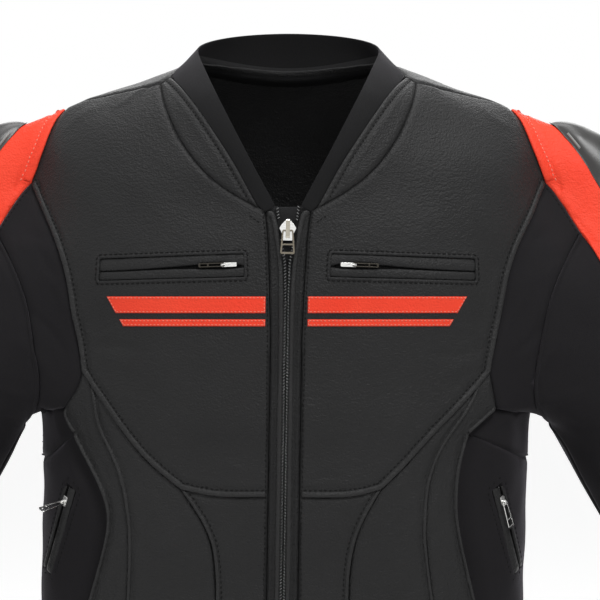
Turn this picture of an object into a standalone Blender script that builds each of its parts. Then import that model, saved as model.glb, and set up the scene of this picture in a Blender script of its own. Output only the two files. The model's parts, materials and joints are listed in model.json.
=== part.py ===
"""A leather sport jacket, hollow and open at neck, hem and cuffs, in the form it has when worn.

Metres, +Z up, +X to the wearer's left, +Y to the wearer's back. The origin lies between the tops of
the shoulders, where the wearer carries the jacket.

The body and each sleeve are smooth forms. A seam is a curve drawn on a form. A panel is the cloth
between its seams, a wall that stops just short of each seam, so that neighbours keep a small gap.
"""
import math
from collections import namedtuple

import bmesh
import bpy
from mathutils import Matrix, Vector
from mathutils.geometry import delaunay_2d_cdt
from mathutils.kdtree import KDTree

for old in list(bpy.data.objects):
    bpy.data.objects.remove(old)

MM = 0.001

# Cloth
CLOTH = 2.0 * MM            # leather panels
STRETCH_CLOTH = 1.3 * MM    # panels of stretch cloth
GAP = 0.3 * MM              # between neighbours at a seam, and between layers
SEAM_STEP = 25 * MM         # between points along a seam
INNER_STEP = 32 * MM        # between points inside a panel
GUSSET_STEP = 16 * MM      # the same in the gusset, which folds at the armpit
PLATE = 3.4 * MM            # moulded shoulder cap
STRIPE = 1.3 * MM           # sewn-on stripes
WELT_PROUD = 0.6 * MM       # how far the pocket lips stand out of the chest


# ---------------------------------------------------------------- curves through tables

def hermite(start, slope_in, end, slope_out, t):
    return (start * (2 * t**3 - 3 * t**2 + 1) + slope_in * (t**3 - 2 * t**2 + t)
            + end * (3 * t**2 - 2 * t**3) + slope_out * (t**3 - t**2))


def read_table(rows, key):
    """The values at a key, on a smooth curve through the rows. A row is (key, value, value...)."""
    key = min(max(key, rows[0][0]), rows[-1][0])
    low = max(i for i in range(len(rows) - 1) if rows[i][0] <= key)
    start, end = rows[low], rows[low + 1]
    before, after = rows[max(low - 1, 0)], rows[min(low + 2, len(rows) - 1)]
    span = end[0] - start[0]
    values = []
    for column in range(1, len(start)):
        slope_in = (end[column] - before[column]) / (end[0] - before[0]) * span
        slope_out = (after[column] - start[column]) / (after[0] - start[0]) * span
        values.append(hermite(start[column], slope_in, end[column], slope_out, (key - start[0]) / span))
    return values


def signed_power(value, power):
    return math.copysign(abs(value) ** power, value)


# ---------------------------------------------------------------- the body's form
# A spot on the body is (turn, rise): turn goes round from the centre front (0) over the wearer's left
# (pi/2) to the centre back (pi); rise is 0 at the chest line, negative below it, and pi/2 on top of the
# shoulders, where front and back meet.

CHEST_Z = -0.200
RISE_SCALE = 0.22           # height for each unit of rise below the chest line
ROUNDNESS = 0.8             # exponent of the section, 1 would be an ellipse
SHOULDER_POWER = 1 / 1.1    # exponent of the curve from the chest line up to the shoulder

BODY_SECTIONS = (
    # z, half width, depth in front, depth behind
    (-0.590, 0.2000, 0.108, 0.112),
    (-0.520, 0.2030, 0.110, 0.112),
    (-0.430, 0.2085, 0.113, 0.112),
    (-0.340, 0.2080, 0.119, 0.118),
    (-0.260, 0.2100, 0.123, 0.128),
    (-0.200, 0.2100, 0.123, 0.132),
)
CHEST_WIDTH, CHEST_FRONT, CHEST_BACK = BODY_SECTIONS[-1][1:]
SHOULDER_WIDTH = 0.196      # half width at the top of the shoulder
ARM_BULGE = 0.1166          # how much the form widens in front of the arm
SHOULDER_RIDGE = (
    # share of the half width, z of the top of the shoulder
    (0.00, 0.0450),
    (0.30, 0.0375),
    (0.48, 0.0270),
    (0.67, 0.0132),
    (0.80, 0.0030),
    (0.93, -0.0045),
    (1.00, -0.0100),
)
RIDGE_BACK = 0.015          # how far behind the origin the ridge runs at the neck
SWAY = 0.0155               # the body leans this much to the right below SWAY_Z
SWAY_Z = -0.11
HEM_Z = -0.590


def sway(z):
    return SWAY * min(z - SWAY_Z, 0)


def shoulder_width(up):
    return CHEST_WIDTH + (SHOULDER_WIDTH - CHEST_WIDTH) * up**2 + ARM_BULGE * up**2 * (1 - up)


def body(spot):
    """The point of the body's form at a spot"""
    turn, rise = spot
    side = signed_power(math.sin(turn), ROUNDNESS)
    ahead = signed_power(math.cos(turn), ROUNDNESS)
    if rise <= 0:
        z = CHEST_Z + RISE_SCALE * rise
        width, front, back = read_table(BODY_SECTIONS, z)
        return Vector((width * side + sway(z), -ahead * (front if ahead > 0 else back), z))
    up = abs(math.sin(rise)) ** SHOULDER_POWER
    over = abs(math.cos(rise)) ** SHOULDER_POWER
    z = CHEST_Z + (read_table(SHOULDER_RIDGE, abs(side))[0] - CHEST_Z) * up
    depth = CHEST_FRONT if ahead > 0 else CHEST_BACK
    y = -ahead * depth * over + RIDGE_BACK * (1 - abs(side)) * (1 - over)
    return Vector((shoulder_width(up) * side + sway(z), y, z))


def body_spot(x, z, behind=False):
    """The spot on the front or back of the body at x and z, in mm and without the sway"""
    x, z = x * MM, z * MM
    if z <= CHEST_Z:
        rise = (z - CHEST_Z) / RISE_SCALE
        side = x / read_table(BODY_SECTIONS, z)[0]
    else:
        side = x / CHEST_WIDTH
        for _ in range(40):
            ridge = read_table(SHOULDER_RIDGE, abs(side))[0]
            up = min(1, (z - CHEST_Z) / (ridge - CHEST_Z))
            side = max(-1, min(1, x / shoulder_width(up)))
        rise = math.asin(up ** (1 / SHOULDER_POWER))
    turn = math.asin(signed_power(max(-1, min(1, side)), 1 / ROUNDNESS))
    return (math.pi - turn if behind else turn, rise)


def side_spot(degrees, z):
    """The spot below the chest line at a turn in degrees and a height in mm"""
    return (math.radians(degrees), (z * MM - CHEST_Z) / RISE_SCALE)


def normal_at(place, spot):
    """The way out of a form at a spot"""
    small = 1e-4
    across = place((spot[0] + small, spot[1])) - place((spot[0] - small, spot[1]))
    up = place((spot[0], spot[1] + small)) - place((spot[0], spot[1] - small))
    return across.cross(up).normalized()


# ---------------------------------------------------------------- flat patterns
# A form has a flat pattern, where one unit is about a metre, for drawing seams and filling panels.

ROUND_PATTERN = (0.17, 0.22)    # metres for each unit of turn and of rise
YOKE_PATTERN = (0.20, 0.22)     # metres for each share of the width and each unit over the shoulder
ARM_PATTERN = 0.066             # metres for each radian round the arm

Form = namedtuple("Form", "place flat unflat")


def round_flat(spot):
    return (spot[0] * ROUND_PATTERN[0], spot[1] * ROUND_PATTERN[1])


def round_spot(flat):
    return (flat[0] / ROUND_PATTERN[0], flat[1] / ROUND_PATTERN[1])


def yoke_flat(spot):
    """Over the shoulders the pattern runs up the front and down the back"""
    turn, rise = spot
    over = rise if math.cos(turn) > 0 else math.pi - rise
    return (signed_power(math.sin(turn), ROUNDNESS) * YOKE_PATTERN[0], over * YOKE_PATTERN[1])


def yoke_spot(flat):
    share, over = flat[0] / YOKE_PATTERN[0], flat[1] / YOKE_PATTERN[1]
    turn = math.asin(signed_power(max(-1, min(1, share)), 1 / ROUNDNESS))
    return (turn, over) if over < math.pi / 2 else (math.pi - turn, math.pi - over)


BODY = Form(body, round_flat, round_spot)
YOKE = Form(body, yoke_flat, yoke_spot)


# ---------------------------------------------------------------- seams

class Seam:
    """A smooth curve through knots on a form, read by the share of its length that has been run."""

    FINE = 24       # short steps for each knot

    def __init__(self, form, knots):
        run, rows = 0.0, []
        for i, knot in enumerate(knots):
            if i:
                run += (form.place(knot) - form.place(knots[i - 1])).length
            rows.append((run, *form.flat(knot)))
        count = self.FINE * len(knots)
        self.fine = [form.unflat(read_table(rows, run * i / count)) for i in range(count + 1)]
        self.fine[0], self.fine[-1] = tuple(knots[0]), tuple(knots[-1])
        self.lengths = [0.0]
        for a, b in zip(self.fine, self.fine[1:]):
            self.lengths.append(self.lengths[-1] + (form.place(b) - form.place(a)).length)

    def at(self, share):
        if share <= 0:
            return self.fine[0]
        if share >= 1:
            return self.fine[-1]
        goal = share * self.lengths[-1]
        i = max(k for k in range(len(self.lengths) - 1) if self.lengths[k] <= goal)
        t = (goal - self.lengths[i]) / (self.lengths[i + 1] - self.lengths[i])
        a, b = self.fine[i], self.fine[i + 1]
        return (a[0] + (b[0] - a[0]) * t, a[1] + (b[1] - a[1]) * t)

    def spots(self, steps=0):
        steps = steps or max(1, round(self.lengths[-1] / SEAM_STEP))
        return [self.at(i / steps) for i in range(steps + 1)]


def front_seam(*knots):
    return Seam(BODY, [body_spot(*knot) for knot in knots])


def back_seam(*knots):
    return Seam(BODY, [body_spot(*knot, behind=True) for knot in knots])


# Where seams meet, as (x, z) in mm on the front of the wearer's left half
COLLAR_TIP = (25, -97.5)
PLACKET_TOP = (19, -101.5)
PLACKET_INNER_TOP = (10.5, -96.5)
COLLAR_END = (101, 15.5)
CHEST_NECK = (109, 10.5)
SHOULDER_TIP = (192.5, -9.2)
ARMHOLE_FRONT = (218.6, -75.8)
CHEST_CORNER = (171.4, -235.5)
FLANK_TOP = (164.4, -245.5)
ARMHOLE_LOW = (177.5, -266.5)
UNDERARM_FRONT = (154.8, -287.3)
PRINCESS_TOP = (81.7, -332.5)
CHEST_BOTTOM = (13.3, -339)
HEM = HEM_Z / MM

# Corners at the side and on the back
ARMPIT = side_spot(90, -258)
ARMHOLE_BEHIND = side_spot(128, -228)
ARMHOLE_BACK = body_spot(216, -78, behind=True)
SIDE_TOP = side_spot(90, -309)
SIDE_BACK_TOP = side_spot(128, -318)
SIDE_BACK_HEM = side_spot(125, HEM)
BACK_NECK_Z = 20

neckline = front_seam(COLLAR_TIP, (46.7, -86.5), (64, -74.5), (78, -59.5), (90, -43), (100, -22.5),
                      (106.5, -3.5), CHEST_NECK)
collar_end = front_seam(CHEST_NECK, COLLAR_END)
shoulder = front_seam(CHEST_NECK, (124, 6), (141, 3.6), (162, -1.2), (184, -6.6), SHOULDER_TIP)
chest_red = front_seam(SHOULDER_TIP, (197, -15.5), (203.4, -29.5), (208.7, -42.5), (211.8, -55.5),
                       (215.4, -67.5), ARMHOLE_FRONT)
chest_gusset = front_seam(ARMHOLE_FRONT, (211.5, -93.4), (201.3, -115), (190.6, -135.3), (185.3, -151.5),
                          (182.3, -179), (179.2, -196), (174, -213), (170.7, -227), CHEST_CORNER)
chest_front = front_seam(PLACKET_TOP, (16.5, -121), (15, -165), (13.6, -205), CHEST_BOTTOM)
collar_tip = front_seam(PLACKET_TOP, COLLAR_TIP)
chest_low_front = front_seam(CHEST_BOTTOM, (41.6, -339.4), (58.3, -339.6), (70.8, -337.3), PRINCESS_TOP)
chest_low_side = front_seam(PRINCESS_TOP, (93.4, -324), (103.4, -310.1), (118.5, -293.5), (136.2, -275.3),
                            (157.5, -253), FLANK_TOP)
chest_low_flank = front_seam(FLANK_TOP, CHEST_CORNER)
princess = front_seam(PRINCESS_TOP, (79.8, -336.7), (70.8, -350), (63.7, -363.3), (59.2, -375),
                      (56.7, -388.4), (54.8, -415), (56, -470), (60, -530), (62, HEM))
flank_seam = front_seam(FLANK_TOP, (161.3, -253.6), (153.1, -269.7), (136.9, -290.2), (123.9, -314),
                        (119.9, -334.8), (119.2, -374.8), (122.4, -399), (127.2, -426.2), (131, -490),
                        (128, HEM))
armhole_front_low = front_seam(CHEST_CORNER, (175.6, -251), ARMHOLE_LOW)
side_seam_top = front_seam(ARMHOLE_LOW, (174.6, -273.2), UNDERARM_FRONT)
side_seam = front_seam(UNDERARM_FRONT, (148.2, -303.2), (145.7, -319.1), (144.9, -340), (148.4, -375.4),
                       (155, -395), (163.1, -427.3), (167, -480), (165, -540), (160, HEM))
underarm_seam = Seam(BODY, [body_spot(*UNDERARM_FRONT), body_spot(171.3, -294.5), body_spot(191.7, -303.5),
                            side_spot(76, -309), SIDE_TOP])
armhole_low = Seam(BODY, [body_spot(*ARMHOLE_LOW), side_spot(66, -268), side_spot(79, -263), ARMPIT])
armhole_behind = Seam(BODY, [ARMPIT, side_spot(103, -254), side_spot(117, -244), ARMHOLE_BEHIND])
armhole_back = Seam(BODY, [ARMHOLE_BEHIND, body_spot(176, -205, True), body_spot(180, -180, True),
                           body_spot(186.5, -150, True), body_spot(196, -122, True),
                           body_spot(208, -97, True), ARMHOLE_BACK])
red_back = Seam(YOKE, [ARMHOLE_BACK, body_spot(213.5, -58, True), body_spot(208, -39, True),
                       body_spot(200.5, -22, True), body_spot(*SHOULDER_TIP)])
yoke_seam = back_seam((216, -78), (190, -98), (150, -113), (80, -123), (0, -126))
accordion_front = Seam(BODY, [ARMPIT, SIDE_TOP])
accordion_low = Seam(BODY, [SIDE_TOP, side_spot(109, -312), SIDE_BACK_TOP])
accordion_back = Seam(BODY, [ARMHOLE_BEHIND, SIDE_BACK_TOP])
side_back = Seam(BODY, [SIDE_BACK_TOP, side_spot(126, -440), SIDE_BACK_HEM])
neck_back = Seam(YOKE, [body_spot(*COLLAR_END), body_spot(95, 24.2), body_spot(82.5, 28.5, True),
                        body_spot(62, 26.5, True), body_spot(34, 22, True), body_spot(0, BACK_NECK_Z, True)])
placket_inner = front_seam(PLACKET_INNER_TOP, (7.4, -121), (3.6, -142), (2.6, -168), (2.3, -205), (2.3, -339))
placket_inner_low = front_seam((2.3, -339), (2.3, HEM))
placket_low = front_seam(CHEST_BOTTOM, (13.3, HEM))


def hem(start, end, steps):
    """Spots along the hem between two turns"""
    rise = (HEM_Z - CHEST_Z) / RISE_SCALE
    return [(start + (end - start) * i / steps, rise) for i in range(steps + 1)]


# ---------------------------------------------------------------- the sleeve's form
# A spot on a sleeve is (angle, along): the angle goes round the arm from the outer side (0) over the
# front (90) to the inner side (180) and the back (270), and along runs from the armhole to the cuff.

ARMHOLE = (
    # angle at the start, angle at the end, seam of the body
    (0, 87, chest_red),
    (87, 135, chest_gusset),
    (135, 148, armhole_front_low),
    (148, 180, armhole_low),
    (180, 215, armhole_behind),
    (215, 273, armhole_back),
    (273, 360, red_back),
)
SLEEVE_HEAD = (
    # angle, length of the head, pull outwards at the armhole, its drop in degrees, pull at the biceps
    (0, 0.300, 0.48, 10, 0.40),
    (90, 0.215, 0.14, 26, 0.18),
    (135, 0.115, 0.08, 16, 0.10),
    (150, 0.085, 0.06, 12, 0.07),
    (180, 0.052, 0.035, 10, 0.05),
)
ARM = (
    # run, x, y, z, half width, half depth
    (0.000, 0.2927, 0.000, -0.2669, 0.0700, 0.0700),
    (0.150, 0.3600, -0.004, -0.4010, 0.0640, 0.0660),
    (0.260, 0.3955, -0.031, -0.5010, 0.0550, 0.0580),
    (0.375, 0.4125, -0.076, -0.6055, 0.0430, 0.0460),
    (0.395, 0.4145, -0.085, -0.6235, 0.0425, 0.0455),
)
CUFF_START = ARM[-2][0]
CUFF_END = ARM[-1][0]
OUTER_SIDE, INNER_SIDE = 0, 180     # middle angles of the sleeve's patterns
FRONT_ANGLE = 86                    # seams wholly beyond it lie on the inner side's pattern

armhole_runs = [(0, 0.0)]           # angle, length of the armhole from the outer side
for start, end, seam in ARMHOLE:
    armhole_runs.append((end, armhole_runs[-1][1] + seam.lengths[-1]))


def armhole_run(angle):
    """Length along the armhole at an angle, counted on over full turns"""
    turns, rest = divmod(angle, 360)
    k = max(i for i in range(len(armhole_runs) - 1) if armhole_runs[i][0] <= rest)
    (start, run), (end, run_end) = armhole_runs[k], armhole_runs[k + 1]
    return turns * armhole_runs[-1][1] + run + (run_end - run) * (rest - start) / (end - start)


def sleeve_pattern(middle):
    """Flat and unflat for a sleeve: the pattern is as wide as the armhole at its top and as wide as
    the arm below its head, and spreads from the line at the middle angle"""
    def flat(spot):
        angle, along = spot
        length = head_shape(angle)[0]
        head = max(0, min(1, 1 - along / length))
        at_arm = math.radians(angle - middle) * ARM_PATTERN
        at_armhole = armhole_run(angle) - armhole_run(middle)
        return (at_arm * (1 - head) + at_armhole * head, along - length)

    def unflat(point):
        low, high = middle - 180.0, middle + 180.0
        for _ in range(40):
            angle = (low + high) / 2
            along = point[1] + head_shape(angle)[0]
            if flat((angle, along))[0] < point[0]:
                low = angle
            else:
                high = angle
        return (angle, along)

    return flat, unflat


def armhole_spot(angle):
    """The body's spot at an angle of the armhole"""
    angle = angle % 360
    for start, end, seam in ARMHOLE:
        if start <= angle <= end:
            return seam.at((angle - start) / (end - start))


def head_shape(angle):
    angle = angle % 360
    return read_table(SLEEVE_HEAD, min(angle, 360 - angle))


def arm_ring(run, angle):
    """The point of the arm's tube, and the way the arm runs there"""
    x, y, z, half_width, half_depth = read_table(ARM, run)
    ahead, behind = read_table(ARM, run + MM), read_table(ARM, run - MM)
    way = (Vector(ahead[:3]) - Vector(behind[:3])).normalized()
    outwards = way.cross(Vector((0, 1, 0))).normalized()
    forwards = way.cross(outwards)
    turn = math.radians(angle)
    reach = outwards * half_width * math.cos(turn) + forwards * half_depth * math.sin(turn)
    return Vector((x, y, z)) + reach, way


def sleeve(side, middle):
    """The form of one sleeve: side is 1 for the wearer's left and -1 for the right, and its pattern
    spreads from the middle angle"""
    def place(spot):
        angle, along = spot
        length, pull_out, drop, pull_down = head_shape(angle)[:4]
        if along >= length:
            point = arm_ring(min(along - length, CUFF_END), angle)[0]
            return Vector((point.x * side, point.y, point.z))
        turn, rise = armhole_spot(angle)
        start = body((turn * side, rise))
        end, way = arm_ring(0, angle)
        fall = math.radians(drop)
        slope_in = Vector((math.cos(fall) * side, 0, -math.sin(fall))) * pull_out
        end.x *= side
        way.x *= side
        return hermite(start, slope_in, end, way * pull_down, along / length)
    return Form(place, *sleeve_pattern(middle))


SLEEVES = {(side, middle): sleeve(side, middle) for side in (1, -1) for middle in (OUTER_SIDE, INNER_SIDE)}


def sleeve_seam(*knots):
    """A seam through (angle in degrees, mm along the sleeve)"""
    middle = INNER_SIDE if min(angle for angle, _ in knots) > FRONT_ANGLE else OUTER_SIDE
    return Seam(SLEEVES[1, middle], [(angle, along * MM) for angle, along in knots])


def arm_line(angle_start, angle_end, start_mm, end_run):
    """A seam down the arm from a distance below the armhole to a run along the arm"""
    start, end = start_mm * MM, head_shape(angle_end)[0] + end_run
    knots = []
    for i in range(5):
        share = i / 4
        angle = angle_start + (angle_end - angle_start) * min(1, 2 * share)
        knots.append((angle, (start + (end - start) * share) / MM))
    return sleeve_seam(*knots)


def arm_hoop(angle_start, angle_end, run):
    """A seam round the arm at a run"""
    count = max(2, round(abs(angle_end - angle_start) / 8))
    angles = [angle_start + (angle_end - angle_start) * i / count for i in range(count + 1)]
    return Seam(SLEEVES[1, OUTER_SIDE], [(angle, head_shape(angle)[0] + run) for angle in angles])


RED_FRONT_SPLIT = (78, 112)     # where the front, outer and red panels meet
RED_BACK_SPLIT = (-86, 54)      # where the outer, red and gusset panels meet behind
UNDER_FRONT = (168, 37)         # start of the seam between the front and under panels
UNDER_BACK = (228, 43)          # start of the seam between the under and outer panels
FRONT_CUFF, UNDER_CUFF, BACK_CUFF = 72, 165, 230

gusset_red = sleeve_seam((87, 0), (88.5, 22), (88.5, 48), (88, 66))
gusset_red_back = sleeve_seam((273, 0), (274, 54))
gusset_front = sleeve_seam((88, 66), (98, 63), (109, 62), (121, 56), (134, 50), (150, 42), UNDER_FRONT)
gusset_under = sleeve_seam(UNDER_FRONT, (180, 36), (200, 37), (215, 40), UNDER_BACK)
gusset_back = sleeve_seam(UNDER_BACK, (250, 48), (274, 54))
red_front = sleeve_seam((88, 66), (82, 88), RED_FRONT_SPLIT)
red_end = sleeve_seam(RED_FRONT_SPLIT, (64, 158), (42, 200), (16, 226), (-12, 228), (-40, 205), (-64, 150),
                      (-78, 100), RED_BACK_SPLIT)
sleeve_front_seam = arm_line(RED_FRONT_SPLIT[0], FRONT_CUFF, RED_FRONT_SPLIT[1], CUFF_START)
sleeve_under_seam = arm_line(UNDER_FRONT[0], UNDER_CUFF, UNDER_FRONT[1], CUFF_START)
sleeve_back_seam = arm_line(UNDER_BACK[0], BACK_CUFF, UNDER_BACK[1], CUFF_START)
cuff_front = arm_hoop(FRONT_CUFF, UNDER_CUFF, CUFF_START)
cuff_under = arm_hoop(UNDER_CUFF, BACK_CUFF, CUFF_START)
cuff_outer = arm_hoop(BACK_CUFF - 360, FRONT_CUFF, CUFF_START)


# ---------------------------------------------------------------- filling a panel

def inside(loop, point):
    """Whether a flat point lies inside a closed loop"""
    crossings = 0
    for (ax, ay), (bx, by) in zip(loop, loop[1:] + loop[:1]):
        if (ay > point[1]) != (by > point[1]) and point[0] < ax + (point[1] - ay) / (by - ay) * (bx - ax):
            crossings += 1
    return crossings % 2 == 1


def edge_distance(loop, point):
    nearest = math.inf
    for (ax, ay), (bx, by) in zip(loop, loop[1:] + loop[:1]):
        dx, dy = bx - ax, by - ay
        t = max(0, min(1, ((point[0] - ax) * dx + (point[1] - ay) * dy) / (dx * dx + dy * dy)))
        nearest = min(nearest, math.hypot(point[0] - ax - t * dx, point[1] - ay - t * dy))
    return nearest


SLIVER = 1e-8        # twice the area of a flat triangle that only closes a straight edge


def fill(form, outline, islands=(), flip=False, step=INNER_STEP):
    """Triangles over a closed outline of spots, in groups: 0 is the panel and the others its islands"""
    loops = [[form.flat(spot) for spot in loop] for loop in (outline, *islands)]
    spots = [spot for loop in (outline, *islands) for spot in loop]
    flats = [point for loop in loops for point in loop]
    edges, first = [], 0
    for loop in loops:
        edges += [(first + i, first + (i + 1) % len(loop)) for i in range(len(loop))]
        first += len(loop)
    low = [min(point[axis] for point in loops[0]) for axis in (0, 1)]
    high = [max(point[axis] for point in loops[0]) for axis in (0, 1)]
    counts = [max(1, round((high[axis] - low[axis]) / step)) for axis in (0, 1)]
    for i in range(1, counts[0]):
        for j in range(1, counts[1]):
            point = (low[0] + (high[0] - low[0]) * i / counts[0], low[1] + (high[1] - low[1]) * j / counts[1])
            if inside(loops[0], point) and min(edge_distance(loop, point) for loop in loops) > 0.45 * step:
                flats.append(point)
                spots.append(form.unflat(point))
    made = delaunay_2d_cdt([Vector(point) for point in flats], edges, [], 0, 1e-7)
    sources = [origins[0] for origins in made[3]]
    points = [form.place(spot) for spot in spots]
    groups = [[] for _ in loops]
    for face in made[2]:
        corners = [sources[corner] for corner in face]
        a, b, c = (Vector(flats[corner]) for corner in corners)
        middle = (a + b + c) / 3
        if abs((b - a).cross(c - a)) < SLIVER or not inside(loops[0], middle):
            continue
        group = max([0] + [k for k in range(1, len(loops)) if inside(loops[k], middle)])
        if flip:
            corners.reverse()
        groups[group].append([points[corner] for corner in corners])
    return groups


def chain(*parts):
    """A closed outline from runs of spots that start where the last one stopped"""
    outline = []
    for part in parts:
        outline += part[:-1]
    return outline


def back(spots):
    return spots[::-1]


def other_side(spots):
    """The same spots on the wearer's right half"""
    return [(-turn, rise) for turn, rise in spots]


def behind_other_side(spots):
    """The same spots on the wearer's right half, with the turn counted on past the centre back"""
    return [(2 * math.pi - turn, rise) for turn, rise in spots]


# ---------------------------------------------------------------- pocket and trim outlines

def box_outline(corners, steps_long, steps_short):
    """A four-cornered outline of body spots with equal steps; corners are (x, z) in mm"""
    outline = []
    for i, (x, z) in enumerate(corners):
        next_x, next_z = corners[(i + 1) % len(corners)]
        steps = (steps_long, steps_short)[i % 2]
        shares = [k / steps for k in range(steps)]
        outline += [body_spot(x + (next_x - x) * share, z + (next_z - z) * share) for share in shares]
    return outline


# Corners as (x, z) in mm: lower inner, lower outer, upper outer, upper inner
CHEST_POCKET = ((32.5, -158.8), (161.0, -162.0), (160.0, -137.4), (33.8, -133.2))
CHEST_SLIT = ((36.5, -147.6), (156.5, -150.8), (156.5, -147.9), (36.5, -142.6))
STRIPE_UPPER = ((17.5, -186.0), (143.0, -186.0), (151.0, -172.0), (17.5, -172.0))
STRIPE_LOWER = ((17.5, -197.0), (136.5, -197.0), (140.0, -191.0), (17.5, -191.0))
HAND_POCKET = ((174.5, -336.0), (196.5, -409.0), (203.5, -402.0), (184.0, -328.0))
HAND_SLIT = ((180.0, -337.5), (198.8, -401.0), (200.8, -399.5), (182.8, -336.0))

# Outline of the moulded cap as (angle, mm along the sleeve)
PLATE_OUTLINE = ((-58, 74), (-46, 50), (-24, 30), (0, 23), (14, 25), (30, 44), (38, 55), (44, 68), (47, 86),
                 (48, 110), (41, 137), (25, 155), (0, 163), (-26, 155), (-47, 138), (-60, 106))


# ---------------------------------------------------------------- the panels

LEATHER = "leather"
STRETCH = "stretch"
RED = "red leather"
panels = {}         # name: (groups of triangles, finish)


def mirrored_name(name, side):
    return f"{name}_{'l' if side > 0 else 'r'}"


def body_panel(name, finish, outline, islands=()):
    """A panel of the body on both halves"""
    for side in (1, -1):
        loops = [outline, *islands] if side > 0 else [other_side(loop) for loop in (outline, *islands)]
        panels[mirrored_name(name, side)] = (fill(BODY, loops[0], loops[1:]), finish)


def sleeve_panel(name, finish, middle, outline, islands=(), step=INNER_STEP):
    """A panel of both sleeves, drawn on the pattern around a middle angle"""
    for side in (1, -1):
        groups = fill(SLEEVES[side, middle], outline, islands, side < 0, step)
        panels[mirrored_name(name, side)] = (groups, finish)


body_panel("chest", LEATHER,
           chain(chest_front.spots(), chest_low_front.spots(), chest_low_side.spots(),
                 chest_low_flank.spots(1), back(chest_gusset.spots()), back(chest_red.spots()),
                 back(shoulder.spots()), back(neckline.spots()), back(collar_tip.spots(1))),
           (box_outline(CHEST_POCKET, 6, 1), box_outline(CHEST_SLIT, 6, 1),
            box_outline(STRIPE_UPPER, 6, 1), box_outline(STRIPE_LOWER, 6, 1)))
princess_hem, flank_hem, side_hem = (seam.fine[-1][0] for seam in (princess, flank_seam, side_seam))
placket_hem = placket_low.fine[-1][0]
body_panel("lower_front", LEATHER,
           chain(placket_low.spots(), hem(placket_hem, princess_hem, 2), back(princess.spots()),
                 back(chest_low_front.spots())))
body_panel("side_front", LEATHER,
           chain(princess.spots(), hem(princess_hem, flank_hem, 3), back(flank_seam.spots()),
                 back(chest_low_side.spots())))
body_panel("flank", LEATHER,
           chain(flank_seam.spots(), hem(flank_hem, side_hem, 2), back(side_seam.spots()),
                 back(side_seam_top.spots()), back(armhole_front_low.spots()),
                 back(chest_low_flank.spots(1))))
body_panel("underarm", STRETCH,
           chain(side_seam_top.spots(), underarm_seam.spots(), back(accordion_front.spots()),
                 back(armhole_low.spots())))
body_panel("side", STRETCH,
           chain(side_seam.spots(), hem(side_hem, SIDE_BACK_HEM[0], 6), back(side_back.spots()),
                 back(accordion_low.spots()), back(underarm_seam.spots())),
           (box_outline(HAND_POCKET, 4, 1), box_outline(HAND_SLIT, 4, 1)))
body_panel("accordion", LEATHER,
           chain(accordion_front.spots(), accordion_low.spots(), back(accordion_back.spots()),
                 back(armhole_behind.spots())))

panels["back_centre"] = (
    fill(BODY,
         chain(back(armhole_back.spots()), accordion_back.spots(), side_back.spots(),
               hem(SIDE_BACK_HEM[0], 2 * math.pi - SIDE_BACK_HEM[0], 12),
               back(behind_other_side(side_back.spots())), back(behind_other_side(accordion_back.spots())),
               behind_other_side(armhole_back.spots()), behind_other_side(yoke_seam.spots()),
               back(yoke_seam.spots()))), LEATHER)
panels["back_yoke"] = (
    fill(YOKE,
         chain(back(red_back.spots()), yoke_seam.spots(), back(other_side(yoke_seam.spots())),
               other_side(red_back.spots()), back(other_side(shoulder.spots())),
               other_side(collar_end.spots(2)), other_side(neck_back.spots()), back(neck_back.spots()),
               back(collar_end.spots(2)), shoulder.spots())), LEATHER)

armhole_spots = {}
for start, end, seam in ARMHOLE:
    steps = len(seam.spots()) - 1
    armhole_spots[start] = [(start + (end - start) * i / steps, 0) for i in range(steps + 1)]


def round_arm(spots):
    """The same spots counted from the other way round the arm"""
    return [(angle - 360, along) for angle, along in spots]


red_outline = chain(armhole_spots[0], gusset_red.spots(), red_front.spots(), red_end.spots(),
                    back(round_arm(gusset_red_back.spots())), round_arm(armhole_spots[273]))
plate_outline = sleeve_seam(*PLATE_OUTLINE, PLATE_OUTLINE[0])
sleeve_panel("shoulder_red", RED, OUTER_SIDE, red_outline, (chain(plate_outline.spots()),))
sleeve_panel("gusset", STRETCH, INNER_SIDE,
             chain(*(armhole_spots[start] for start in (87, 135, 148, 180, 215)), gusset_red_back.spots(),
                   back(gusset_back.spots()), back(gusset_under.spots()), back(gusset_front.spots()),
                   back(gusset_red.spots())), step=GUSSET_STEP)
sleeve_panel("sleeve_front", STRETCH, INNER_SIDE,
             chain(gusset_front.spots(), sleeve_under_seam.spots(), back(cuff_front.spots()),
                   back(sleeve_front_seam.spots()), back(red_front.spots())))
sleeve_panel("sleeve_under", STRETCH, INNER_SIDE,
             chain(gusset_under.spots(), sleeve_back_seam.spots(), back(cuff_under.spots()),
                   back(sleeve_under_seam.spots())))
sleeve_panel("sleeve_outer", LEATHER, OUTER_SIDE,
             chain(back(red_end.spots()), sleeve_front_seam.spots(), back(cuff_outer.spots()),
                   back(round_arm(sleeve_back_seam.spots())), round_arm(gusset_back.spots())))


def cuff_strip(upper, side):
    """Part of the cuff's ring below a run of spots"""
    lower = [(angle, head_shape(angle)[0] + CUFF_END) for angle, along in upper]
    return fill(SLEEVES[side, OUTER_SIDE], upper + back(lower), flip=side < 0)[0]


for side in (1, -1):
    inner_run = cuff_front.spots()[:-1] + cuff_under.spots()
    ring = cuff_strip(cuff_outer.spots(), side) + cuff_strip(inner_run, side)
    panels[mirrored_name("cuff", side)] = ([ring], LEATHER)

# ---------------------------------------------------------------- collar and placket
# These are strips between two edges with the same number of points.

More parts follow.
